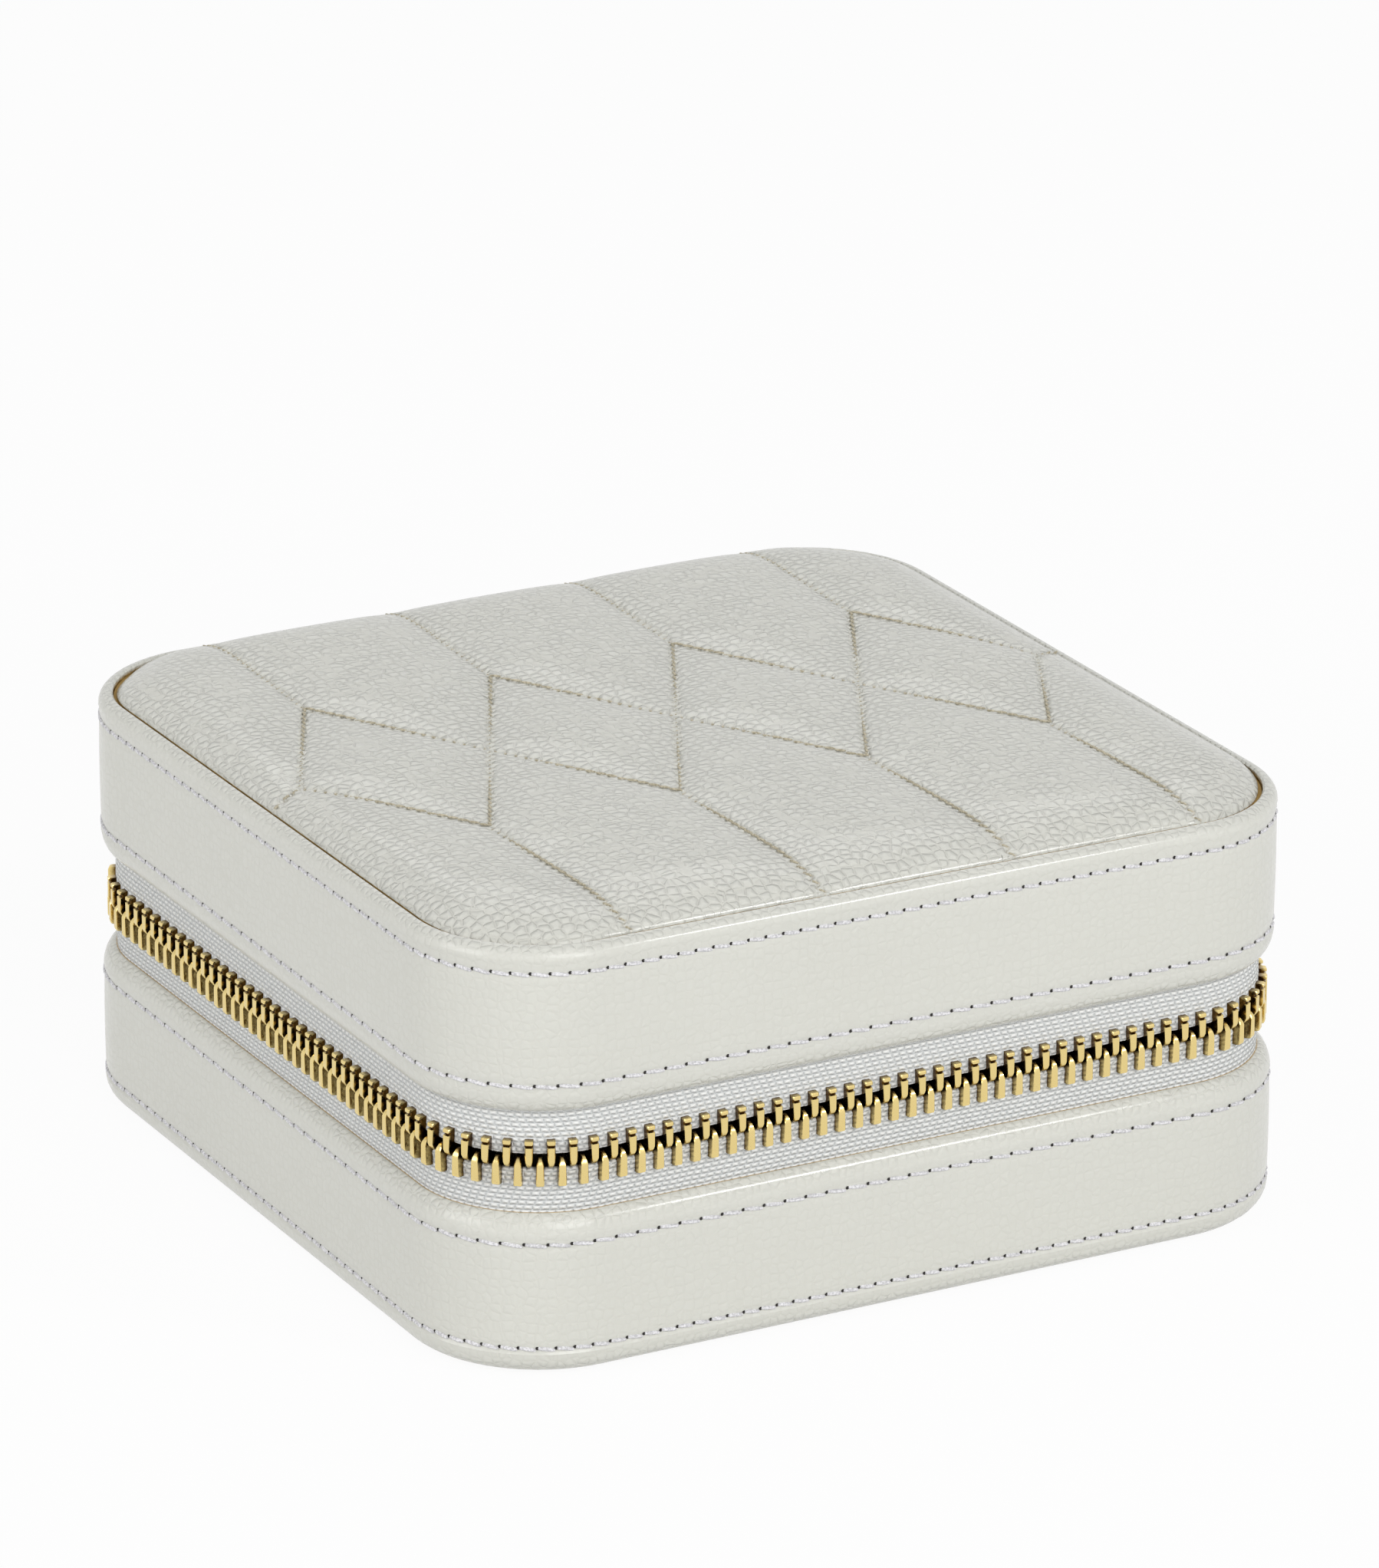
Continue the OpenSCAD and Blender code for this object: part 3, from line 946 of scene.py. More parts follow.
@dataclass
class SideLeather:
    """The leather round the sides of the base or of the lid, with its seams."""

    sizes: CaseSizes
    skin: float = 1.2 * MM
    lip: float = 2.2 * MM
    lip_roll: float = 3.7 * MM
    foot_r: float = 3.5 * MM
    rim_r: float = 1.9 * MM
    seam_edge: float = 4.3 * MM
    rim_seam: float = 3.8 * MM
    seam_pull: float = 0.2 * MM
    seam_spread: float = 0.55 * MM
    slack: float = 0.12 * MM
    rows: int = 40
    thread_r: float = 0.3 * MM
    hole_r: float = 0.26 * MM
    slant: float = math.radians(7)
    sway: float = 0.04

    def face(self, low: float, high: float, seams: Sequence[float]) -> list[tuple[float, float]]:
        """Finds the outside face, pulled in at the seams and a little full between them.

        Args:
            low: Height of its lower end.
            high: Height of its upper end.
            seams: Heights of its seams.

        Returns:
            Pairs of inset and height, upwards.
        """
        points = []
        for i in range(1, self.rows):
            z = low + (high - low) * i / self.rows
            pull = sum(self.seam_pull * math.exp(-((z - seam) / self.seam_spread) ** 2)
                       for seam in seams)
            full = self.slack * (1 - math.sin(math.pi * i / self.rows))
            points.append((pull + full, z))
        return points

    def base(self) -> None:
        """Makes the base's leather and sews it."""
        s = self.sizes
        seams = (self.seam_edge, s.base_top - self.seam_edge)
        inner = self.foot_r - self.skin
        foot = (self.foot_r, self.foot_r)
        roll = (self.lip, s.base_top - self.lip_roll)
        profile = ellipse(foot, (inner, inner), 270, 180)
        profile += [(self.skin, roll[1]), (self.lip, roll[1])]
        profile += ellipse(roll, (self.lip, self.lip_roll), 90, 172, 9)
        profile += reversed(self.face(self.foot_r, roll[1], seams))
        profile += ellipse(foot, (self.foot_r, self.foot_r), 180, 270)
        self.build("base_leather_band", profile, Body.BASE, "base_side_leather")
        self.sew("base_lower", seams[0], 2.7 * MM, Body.BASE, "base_lower_seam")
        self.sew("base_upper", seams[1], 3.4 * MM, Body.BASE, "base_upper_seam")

    def lid(self) -> None:
        """Makes the lid's leather and sews it."""
        s = self.sizes
        seams = (s.lid_low + self.seam_edge, s.rim_top - self.rim_seam)
        roll = (self.lip, s.lid_low + self.lip_roll)
        rim = (self.rim_r, s.rim_top - self.rim_r)
        profile = [(self.skin, s.groove_low), (self.skin, roll[1]), (self.lip, roll[1])]
        profile += ellipse(roll, (self.lip, self.lip_roll), 270, 188, 9)
        profile += self.face(roll[1], rim[1], seams)
        profile += ellipse(rim, (self.rim_r, self.rim_r), 180, 90, 8)
        profile += [(self.lip, s.rim_top - drop * MM) for drop in (0.3, 0.5, 0.95)]
        profile += [(self.lip, s.groove_low)]
        self.build("lid_leather_band", profile, Body.LID, "lid_side_leather")
        self.sew("lid_lower", seams[0], 3.3 * MM, Body.LID, "lid_lower_seam")
        self.sew("lid_upper", seams[1], 2.8 * MM, Body.LID, "lid_upper_seam")

    def build(self, name: str, profile: Profile, body: Body, node: str) -> None:
        """Sweeps a closed profile round the case and marks its rolls and its cut edge.

        Args:
            name: Name of the piece.
            profile: Pairs of inset and height.
            body: Body that it rides on.
            node: The frame's leather that it stands for.
        """
        outline, roll_start = self.sizes.outline, 0.25 * MM
        bm = sweep_round(profile, outline, True)
        shade(bm, "rolled", lambda at: np.clip(outline.inside(at[:, :2]) / roll_start - 1, 0, 1))
        shade(bm, "raw", lambda at: self.cut_edge(outline.inside(at[:, :2]), at[:, 2]))
        stand_in(hand_over(bm, name, SIDE_LEATHER), body, node)

    def cut_edge(self, inside: np.ndarray, height: np.ndarray) -> np.ndarray:
        """Finds how brown the leather is: at the ends of the lips and down inside the rim.

        Args:
            inside: How far points lie inside the case's outline.
            height: Their heights.

        Returns:
            From 0, coated, to 1, cut.
        """
        rim = self.sizes.rim_top - 3 * MM
        lips = np.where(height < rim, (inside - self.lip) / (0.55 * MM) + 1, 0)
        wall = np.where((height > rim) & (inside > self.lip - 0.05 * MM),
                        (self.sizes.rim_top - 0.3 * MM - height) / (0.6 * MM), 0)
        return np.clip(np.maximum(lips, wall), 0, 1)

    def sew(self, name: str, height: float, pitch: float, body: Body, node: str) -> None:
        """Lays a row of lockstitches, and dark discs of painted shade for their needle holes.

        Args:
            name: Start of the pieces' names.
            height: Height of the seam.
            pitch: Length of a stitch.
            body: Body that the seam rides on.
            node: The frame's thread that the stitches stand for.
        """
        sunk, proud, above = 0.02 * MM, 0.04 * MM, 0.15 * MM
        line = self.sizes.outline.inset(self.seam_pull + sunk)
        count = round(line.length / pitch)
        step = line.length / count
        shape = Matrix.Diagonal((self.thread_r, step * 0.46, self.thread_r, 1))
        # Each needle hole is a flat dark disc of painted shade.
        dot = (Matrix.Translation((proud, 0, 0))
               @ Matrix.Diagonal((sunk, self.hole_r, self.hole_r, 1)))
        laid, pierced = [], []
        random.seed(len(name) + count)
        for i in range(count):
            lean = Matrix.Rotation(-self.slant - random.uniform(-self.sway, self.sway), 4, "X")
            laid.append(line.stand((i + 0.5) * step, height) @ lean @ shape)
            pierced.append(line.stand(i * step - sunk, height + above) @ dot)
        thread, holes = repeat(bead(7, 9, blunt=0.55), laid), repeat(bead(8, 6), pierced)
        stand_in(hand_over(thread, name + "_stitches", SEAM_THREAD), body, node)
        stand_in(hand_over(holes, name + "_needle_holes", HOLE_SHADE), body)


@dataclass(frozen=True)
class Padding:
    """Foam under a cover that swells between its seams, found by a cloth simulation."""

    spacing: float = 1.05 * MM
    enlarged: float = 20.0
    frames: int = 16
    pressure: float = 9.0
    stiffness: float = 15.0
    bending: float = 4.0
    slack: float = 0.006
    smoothing: int = 2

    def sheet(self, count: int, half: float,
              held: Callable[[np.ndarray], np.ndarray]) -> bpy.types.Object:
        """Lays a flat square sheet out, many times its size, and pins it at the seams.

        Args:
            count: Number of faces along a side.
            half: Half the length of a side.
            held: Tells which of the points in plan, one per row, are held.

        Returns:
            The sheet, ready to swell.
        """
        bm = bmesh.new()
        bmesh.ops.create_grid(bm, x_segments=count, y_segments=count, size=half * self.enlarged)
        sheet = put("swelling_sheet", as_mesh(bm, "swelling_sheet"))
        places = self.points(sheet.data)[:, :2] / self.enlarged
        sewn = sheet.vertex_groups.new(name="sewn")
        sewn.add([int(i) for i in np.nonzero(held(places))[0]], 1.0, "REPLACE")
        return sheet

    @staticmethod
    def points(mesh: bpy.types.Mesh) -> np.ndarray:
        """Reads where a mesh's vertices are.

        Args:
            mesh: The mesh.

        Returns:
            Their places, one per row.
        """
        flat = np.empty(len(mesh.vertices) * 3)
        mesh.vertices.foreach_get("co", flat)
        return flat.reshape(-1, 3)

    def swell(self, half: float, held: Callable[[np.ndarray], np.ndarray]) -> np.ndarray:
        """Blows a sheet up between its seams.

        Args:
            half: Half the length of the sheet's side.
            held: Tells which of the points in plan, one per row, are held.

        Returns:
            The rise at each point of a square grid, by row from front to back.
        """
        count = round(2 * half / self.spacing)
        sheet = self.sheet(count, half, held)
        flat = self.points(sheet.data)
        cloth = sheet.modifiers.new("swelling", "CLOTH")
        settings = cloth.settings
        settings.quality = 4
        settings.mass = 0.2
        settings.air_damping = 2
        settings.tension_stiffness = self.stiffness
        settings.compression_stiffness = self.stiffness
        settings.shear_stiffness = 0.4 * self.stiffness
        settings.bending_stiffness = self.bending
        settings.use_pressure = True
        settings.uniform_pressure_force = self.pressure
        settings.shrink_min = -self.slack
        settings.vertex_group_mass = "sewn"
        settings.effector_weights.gravity = 0
        cloth.collision_settings.use_collision = False
        cloth.point_cache.frame_start = 1
        cloth.point_cache.frame_end = self.frames
        for frame in range(1, self.frames + 1):
            bpy.context.scene.frame_set(frame)
        swollen = self.points(sheet.evaluated_get(bpy.context.evaluated_depsgraph_get()).data)
        bpy.data.objects.remove(sheet)
        bpy.context.scene.frame_set(1)
        places = flat.round(5)
        order = np.lexsort((places[:, 0], places[:, 1]))
        rise = swollen[order, 2].reshape(count + 1, count + 1) / self.enlarged
        for _ in range(self.smoothing):
            rise[1:-1] = (rise[:-2] + 2 * rise[1:-1] + rise[2:]) / 4
            rise[:, 1:-1] = (rise[:, :-2] + 2 * rise[:, 1:-1] + rise[:, 2:]) / 4
        LOG.info("padding: rises %.2f mm at most", rise.max() / MM)
        return rise


@dataclass
class QuiltedPanel:
    """The padded top of the lid, sewn down in long diamonds."""

    sizes: CaseSizes
    pitch: float = 31 * MM
    rise: float = 28.5 * MM
    centre: tuple[float, float] = (0.2 * MM, 1.4 * MM)
    lean: float = 0.03
    splay: float = 1.3 * MM
    stitch: float = 1.8 * MM
    edge_low: float = 1.15 * MM
    crown: float = 2.3 * MM
    crown_run: float = 16 * MM
    puff: float = 1.65 * MM
    puff_run: float = 4.5 * MM
    softness: float = 1.6
    edge_roll: float = 0.4 * MM
    turn_in: float = 0.08 * MM
    twist: float = 0.24
    thread: tuple[float, float] = (0.22 * MM, 0.2 * MM)
    thread_lift: float = 0.12 * MM
    corner_draw: float = 1.1 * MM
    corner_drop: float = 0.6 * MM
    corner_from: float = 0.65
    corner_run: float = 0.25
    tuck: float = 0.6 * MM
    crease: float = 0.46 * MM
    crease_run: float = 0.5 * MM
    wander: float = 0.5 * MM
    # Painted shade tinted brown along the seam creases: its width and its strength.
    seam_shade_width: float = 0.42 * MM
    seam_shade_strength: float = 0.5
    cells: int = 150
    fine_reaches: tuple[float, ...] = (1.7 * MM, 0.8 * MM)
    padding: Padding = Padding()
    swollen: np.ndarray | None = None

    @property
    def outline(self) -> Outline:
        """The panel's outline in plan, with its corners drawn in."""
        plain = self.sizes.outline.inset(self.sizes.panel_in)
        return Outline(plain.half, plain.radius + self.corner_draw)

    def spot(self, column: float, row: float) -> np.ndarray:
        """A point of the pattern in plan, on a cover that lies a little askew."""
        x, y = column * self.pitch, row * self.rise
        return np.array([x + self.centre[0] - self.lean * y, y + self.centre[1]])

    def seams(self) -> list[tuple[np.ndarray, np.ndarray]]:
        """Lays the quilting out.

        Returns:
            Its straight runs, each from point to point in plan.
        """
        edge = self.outline.half
        runs = []
        for column in (-1.5, -0.5, 0.5, 1.5):
            for side in (-1, 1):
                corner = self.spot(column, side)
                runs.append((corner, np.array([corner[0] + self.splay, side * edge])))
                runs.append((self.spot(column - 0.5, 0), corner))
                runs.append((self.spot(column + 0.5, 0), corner))
        for side in (-1, 1):
            tip = self.spot(2 * side, 0)
            runs.append((tip, np.array([side * edge, tip[1] + 2 * side * self.splay])))
        return runs

    def to_seams(self, xy: np.ndarray) -> tuple[np.ndarray, np.ndarray]:
        """Measures how far points lie from the seams.

        Args:
            xy: Points in plan, one per row.

        Returns:
            The distance to the nearest seam, and the same with the stitches' sway to and fro and
            where each point's foot lies in the beat of the stitches.
        """
        nearest = np.full(len(xy), 1.0)
        swayed = np.full((2, len(xy)), 1.0)
        for start, end in self.seams():
            way = end - start
            length = np.hypot(*way)
            along = np.clip((xy - start) @ way / length, 0, length)
            off = xy - start - np.outer(along / length, way)
            distance = np.hypot(*off.T)
            side = np.sign(off @ np.array([-way[1], way[0]]))
            beat = 2 * math.pi * along / self.stitch
            closer = distance < nearest
            nearest[closer] = distance[closer]
            swayed[0, closer] = np.abs(distance - side * self.wander * np.sin(beat))[closer]
            swayed[1, closer] = beat[closer]
        return nearest, swayed

    def held(self, xy: np.ndarray) -> np.ndarray:
        """Whether points lie on a seam or on the edge."""
        reach = 0.55 * self.padding.spacing
        return (self.to_seams(xy)[0] < reach) | (self.outline.inside(xy) < reach)

    def fullness(self, xy: np.ndarray, inside: np.ndarray) -> np.ndarray:
        """Finds how far the padding lifts the cover, from the simulation or a stand-in for it.

        Args:
            xy: Points in plan, one per row.
            inside: How far they lie inside the outline.

        Returns:
            The lift of each point.
        """
        nearest = np.minimum(self.to_seams(xy)[0], inside)
        if self.swollen is None:
            return self.puff * (1 - np.exp(-nearest / self.puff_run * 2))
        last = len(self.swollen) - 1
        place = (xy / (2 * self.outline.half) + 0.5) * last
        low = np.clip(np.floor(place).astype(int), 0, last - 1)
        u, v = (place - low).T
        i, j = low.T
        grid = self.swollen
        rise = ((grid[j, i] * (1 - u) + grid[j, i + 1] * u) * (1 - v)
                + (grid[j + 1, i] * (1 - u) + grid[j + 1, i + 1] * u) * v)
        soft = np.tanh(np.maximum(rise, 0) / (self.softness * self.puff))
        return self.puff * soft * (1 - np.exp(-nearest / self.tuck))

    def height(self, xy: np.ndarray) -> np.ndarray:
        """Finds the height of the panel's surface.

        Args:
            xy: Points in plan, one per row.

        Returns:
            Their heights.
        """
        inside = np.maximum(self.outline.inside(xy), 0)
        distance, beat = self.to_seams(xy)[1]
        tightness = 0.7 + 0.3 * np.cos(2 * beat)
        crease = self.crease * tightness * np.exp(-(distance / self.crease_run) ** 2)
        crease *= np.clip(inside / (2 * self.edge_roll), 0.3, 1)
        dome = 1 - (1 - np.minimum(inside / self.crown_run, 1)) ** 3
        bent = 1 - np.minimum(inside / self.edge_roll, 1)
        roll = self.edge_roll * (1 - np.sqrt(np.maximum(1 - bent ** 2, 0)))
        outwards = np.min(np.abs(xy), axis=1) / self.outline.half
        corner = np.clip((outwards - self.corner_from) / self.corner_run, 0, 1)
        top = (self.sizes.panel_low + self.edge_low + self.edge_roll
               - self.corner_drop * corner ** 2)
        return top + self.crown * dome + self.fullness(xy, inside) - crease - roll

    def round_corners(self, bm: BMesh) -> None:
        """Draws the corners of a square sheet in to the round outline.

        Args:
            bm: The sheet.
        """
        out = self.outline
        for vert in bm.verts:
            a, b = abs(vert.co.x) - out.arc_c, abs(vert.co.y) - out.arc_c
            if a > 0 and b > 0:
                scale = max(a, b) / math.hypot(a, b)
                vert.co.x = math.copysign(out.arc_c + a * scale, vert.co.x)
                vert.co.y = math.copysign(out.arc_c + b * scale, vert.co.y)

    def refine(self, bm: BMesh, reach: float) -> None:
        """Halves the faces near the seams.

        Args:
            bm: Mesh to work in.
            reach: Distance from a seam within which faces are halved.
        """
        middles = np.array([((e.verts[0].co + e.verts[1].co) / 2)[:2] for e in bm.edges])
        near = np.full(len(middles), False)
        for start, end in self.seams():
            way = end - start
            share = np.clip((middles - start) @ way / (way @ way), 0, 1)
            near |= np.hypot(*(middles - start - np.outer(share, way)).T) < reach
        edges = [edge for edge, hit in zip(bm.edges, near) if hit]
        bmesh.ops.subdivide_edges(bm, edges=edges, cuts=1, use_grid_fill=True)

    def build(self) -> None:
        """Makes the leather of the panel and its thread."""
        self.swollen = self.padding.swell(self.outline.half, self.held)
        bm = bmesh.new()
        bmesh.ops.create_grid(bm, x_segments=self.cells, y_segments=self.cells,
                              size=self.outline.half)
        self.round_corners(bm)
        for reach in self.fine_reaches:
            self.refine(bm, reach)
        heights = self.height(np.array([vert.co[:2] for vert in bm.verts]))
        for vert, z in zip(bm.verts, heights):
            vert.co.z = z
        rim = [edge for edge in bm.edges if edge.is_boundary]
        skirt = push(bm, push(bm, rim, (0, 0, -self.turn_in)), (0, 0, 0))
        for vert in {vert for edge in skirt for vert in edge.verts}:
            vert.co.z = self.sizes.panel_low
        bmesh.ops.holes_fill(bm, edges=skirt, sides=0)
        bmesh.ops.recalc_face_normals(bm, faces=bm.faces)
        edge_z = self.height(np.array([vert.co[:2] for vert in bm.verts]))
        # A brown cut edge on the skirt, and painted shade along the seam creases.
        shade(bm, "raw", lambda at: np.maximum(
            at[:, 2] < edge_z - 0.6 * self.turn_in,
            self.seam_shade_strength * np.exp(-(self.to_seams(at[:, :2])[1][0] / self.seam_shade_width) ** 2)))
        shade(bm, "rolled", lambda at: np.ones(len(at)))
        panel = hand_over(bm, "quilted_cover", QUILT_LEATHER, smooth=60)
        stand_in(panel, Body.LID, "quilted_panel")
        self.sew()
        self.bed()

    def bed(self) -> None:
        """Lays the glued edge that shows between the rim and the panel."""
        low, edge = self.sizes.panel_low, self.sizes.panel_in
        high = low + 0.35 * MM
        strip = [(edge - 0.2 * MM, low), (edge - 0.15 * MM, high), (edge + 2 * MM, high),
                 (edge + 2.4 * MM, low)]
        bm = sweep_round(strip, self.sizes.outline, True)
        stand_in(hand_over(bm, "panel_glue_line", GLUE), Body.LID)

    def sew(self) -> None:
        """Lays the thread in the quilting's creases."""
        places = []
        for start, end in self.seams():
            way = end - start
            length = np.hypot(*way)
            count = max(round(length / self.stitch), 1)
            share = (np.arange(count) + 0.5) / count
            middle = start + np.outer(share, way)
            middle = middle[self.outline.inside(middle) > self.edge_roll]
            turn = Matrix.Rotation(math.atan2(-way[0], way[1]) + self.twist, 4, "Z")
            shape = Matrix.Diagonal((self.thread[0], length / count * 0.5, self.thread[1], 1))
            for (x, y), z in zip(middle, self.height(middle)):
                places.append(Matrix.Translation((x, y, z + self.thread_lift)) @ turn @ shape)
        stitches = hand_over(repeat(bead(6, 6), places), "quilting_stitches", QUILT_THREAD)
        stand_in(stitches, Body.LID, "quilting_thread")


# ---- zip -------------------------------------------------------------------------------------


@dataclass
class ZipFastener:
    """Tapes and teeth of the zip. A row of the lid is the base's row turned over."""

    sizes: CaseSizes
    tape_t: float = 0.6 * MM
    tape_edge: float = 1.05 * MM
    tape_low: float = 17.2 * MM
    cord: tuple[float, float] = (0.62 * MM, 0.55 * MM)
    meeting_run: float = 4.5 * MM
    meeting_gap: float = 0.06 * MM
    spine_half: float = 48.7 * MM
    pitch: float = 2.93 * MM
    tooth_w: float = 1.2 * MM
    chain_h: float = 6.9 * MM
    tooth_inset: float = 0.8 * MM
    tooth_t: float = 3.4 * MM
    reach: float = 0.75 * MM
    chain_end: float = 5 * MM
    chain_turn: float = 36
    stop_before: float = 1.4 * MM
    stop_top: float = 0.9 * MM

    @property
    def path(self) -> Outline:
        """The outline that the middle of the tape follows."""
        return self.sizes.outline.inset(self.sizes.tape_in + self.tape_t / 2)

    @property
    def run_right(self) -> float:
        """Length of the chain's first stretch, on the right-hand side."""
        return 2 * self.path.arc_c - self.chain_end

    @property
    def count(self) -> int:
        """Number of pitches in the chain."""
        path = self.path
        corners = 2 * path.quarter + path.radius * math.radians(self.chain_turn)
        return int((self.run_right + 4 * path.arc_c + corners) / self.pitch)

    @property
    def bend_end(self) -> float:
        """Place along the path where the back right corner ends."""
        return self.path.arc_c + self.path.quarter

    def over(self, bm: BMesh) -> BMesh:
        """Turns a base piece over into the lid's.

        Args:
            bm: The piece.

        Returns:
            The same piece.
        """
        bmesh.ops.scale(bm, verts=bm.verts, vec=(1, 1, -1))
        bmesh.ops.translate(bm, verts=bm.verts, vec=(0, 0, 2 * self.sizes.zip_mid))
        bmesh.ops.reverse_faces(bm, faces=bm.faces)
        return bm

    def tape(self) -> BMesh:
        """Makes one tape with a cord along its edge. Past the chain's ends the tapes meet.

        Returns:
            The base's tape.
        """
        s = self.sizes
        top = s.zip_mid - self.tape_edge
        inner, outer = s.tape_in + self.tape_t, s.tape_in
        cord = ellipse(((inner + outer) / 2, top - self.cord[1]), self.cord, -30, 210, 10)
        profile = [(outer, self.tape_low), (inner, self.tape_low)] + cord
        bm = sweep_round(profile, s.outline, True, gap=self.spine_half)
        path, start = self.path, self.bend_end
        last = start + self.chain_end + self.count * self.pitch
        for vert in bm.verts:
            if vert.co.z > top - 2 * MM:
                place = path.along(vert.co.x, vert.co.y)
                past = max(start - place, place - last - MM)
                share = min(max(past / self.meeting_run, 0), 1)
                vert.co.z += (self.tape_edge - self.meeting_gap) * share ** 2 * (3 - 2 * share)
        return bm

    def tooth(self, slit: bool) -> BMesh:
        """Makes a tooth of the base's row: two jaws on the tape and a head that narrows upwards.

        Args:
            slit: Whether its face has a slit near the root.

        Returns:
            The tooth, where the chain's middle passes the X axis.
        """
        bm = bmesh.new()
        mid = self.sizes.zip_mid
        outer = self.sizes.half - self.tooth_inset - self.path.half
        inner = outer - self.tooth_t
        root, jaw, bend = -self.chain_h / 2, 0.38 * MM, 0.45 * MM
        toe = ellipse((outer - bend, root + bend), (bend, bend), 270, 360, 2)
        if slit:
            notch = [(0.12, 0.0), (0.0, 0.12), (0.0, 0.5), (0.4, 0.55), (0.4, 0.85), (0.0, 0.95)]
            toe = [(outer - x * MM, root + z * MM) for x, z in notch]
        head = [(0, -0.35), (0.15, 0.1), (0.45, 0.5), (0.85, 0.75)]
        nape = [(0.9, 0.75), (0.5, 0.1), (0, -0.6)]
        side = toe + [(outer - x * MM, z * MM) for x, z in head]
        side += [(inner + x * MM, z * MM) for x, z in nape]
        side += [(inner, root + bend), (inner + bend, root), (-jaw, root)]
        side += [(-jaw, -self.tape_edge + jaw), (jaw, -self.tape_edge + jaw), (jaw, root)]
        face = bm.faces.new([bm.verts.new((x, -self.tooth_w / 2, mid + z)) for x, z in side])
        made = bmesh.ops.extrude_face_region(bm, geom=[face])["geom"]
        bmesh.ops.translate(bm, verts=verts_of(made), vec=(0, self.tooth_w, 0))
        for vert in bm.verts:
            rise = max(0.0, (vert.co.z - mid) / self.reach + 0.6) / 1.6
            vert.co.y *= 1 - 0.5 * rise
        bmesh.ops.recalc_face_normals(bm, faces=bm.faces)
        flank = [f for f in bm.faces if abs(f.normal.y) > 0.7]
        front = dict.fromkeys(e for f in flank for e in f.edges
                              if min(v.co.x for v in e.verts) > outer - 0.9 * MM)
        round_edges(bm, front, 0.13 * MM, 1)
        # Tarnish and painted shade inwards on the flanks, in the slit and where the rows mesh.
        shade(bm, "patina",
              lambda at: self.patina(outer - at[:, 0], at[:, 0] - inner, at[:, 2] - mid))
        LOG.info("tooth: %d faces", len(bm.faces))
        return bm

    def patina(self, from_face: np.ndarray, from_back: np.ndarray, rise: np.ndarray) -> np.ndarray:
        """Finds a tooth's tarnish and painted shade: inwards on its flanks, in its slit, where the
        rows mesh.

        Args:
            from_face: How far points lie behind the tooth's face.
            from_back: How far they lie before its back.
            rise: How far they lie above the chain's middle.

        Returns:
            From 0, polished, to 1, dark.
        """
        flank = np.minimum(from_face / (1.3 * MM), from_back / (0.6 * MM))
        mesh = 0.9 - np.abs(rise) / (1.1 * MM) - 0.6 * (from_face < 0.5 * MM)
        slit_z = 0.7 * MM - self.chain_h / 2
        slit = 1.0 * ((from_face > 0.25 * MM) & (np.abs(rise - slit_z) < 0.3 * MM))
        return np.clip(np.maximum(np.maximum(flank, mesh), slit), 0, 1)

    def row(self, first: int, last: int, shift: float, stop_at: float, slit: bool) -> BMesh:
        """Makes a stretch of teeth with the end stop beside it.

        Args:
            first: Number of the first tooth.
            last: Number after the last tooth.
            shift: Part of a pitch that the row starts late by.
            stop_at: Place of the end stop along the chain.
            slit: Whether the teeth have a slit.

        Returns:
            The mesh of the base's row.
        """
        places = [self.stand((i + shift) * self.pitch) for i in range(first, last)]
        bm = repeat(self.tooth(slit), places)
        stop = self.tooth(False)
        bmesh.ops.bisect_plane(stop, geom=list(stop.verts) + list(stop.edges) + list(stop.faces),
                               plane_co=(0, 0, self.sizes.zip_mid - self.stop_top),
                               plane_no=(0, 0, 1), clear_outer=True)
        bmesh.ops.holes_fill(stop, edges=[e for e in stop.edges if e.is_boundary], sides=0)
        bmesh.ops.transform(stop, matrix=self.stand(stop_at), verts=stop.verts)
        mesh = as_mesh(stop, "stop")
        bm.from_mesh(mesh)
        bpy.data.meshes.remove(mesh)
        return bm

    def stand(self, place: float) -> Matrix:
        """A place along the chain that looks outwards along X."""
        return self.path.stand(self.bend_end + self.chain_end + place, 0)

    def build(self) -> None:
        """Makes both tapes and both rows of teeth."""
        split, count = int(self.run_right / self.pitch), self.count
        for body in (Body.BASE, Body.LID):
            tape = self.tape()
            if body is Body.LID:
                self.over(tape)
            unroll(tape, self.path, self.sizes.zip_mid)
            piece = hand_over(tape, f"{body.value}_tape", TAPE)
            stand_in(piece, body, f"{body.value}_zip_tape")
        for body, over in ((Body.BASE, 0), (Body.LID, 1)):
            for place, stretch, first, last, stop_at in (
                    ("front", "zip", split, count - over, count * self.pitch),
                    ("right", "slider", 0, split, -self.stop_before)):
                bm = self.row(first, last, over / 2, stop_at, bool(over))
                if over:
                    self.over(bm)
                piece = hand_over(bm, f"{body.value}_teeth_{place}", BRASS, smooth=30)
                stand_in(piece, body, f"{body.value}_{stretch}_teeth")


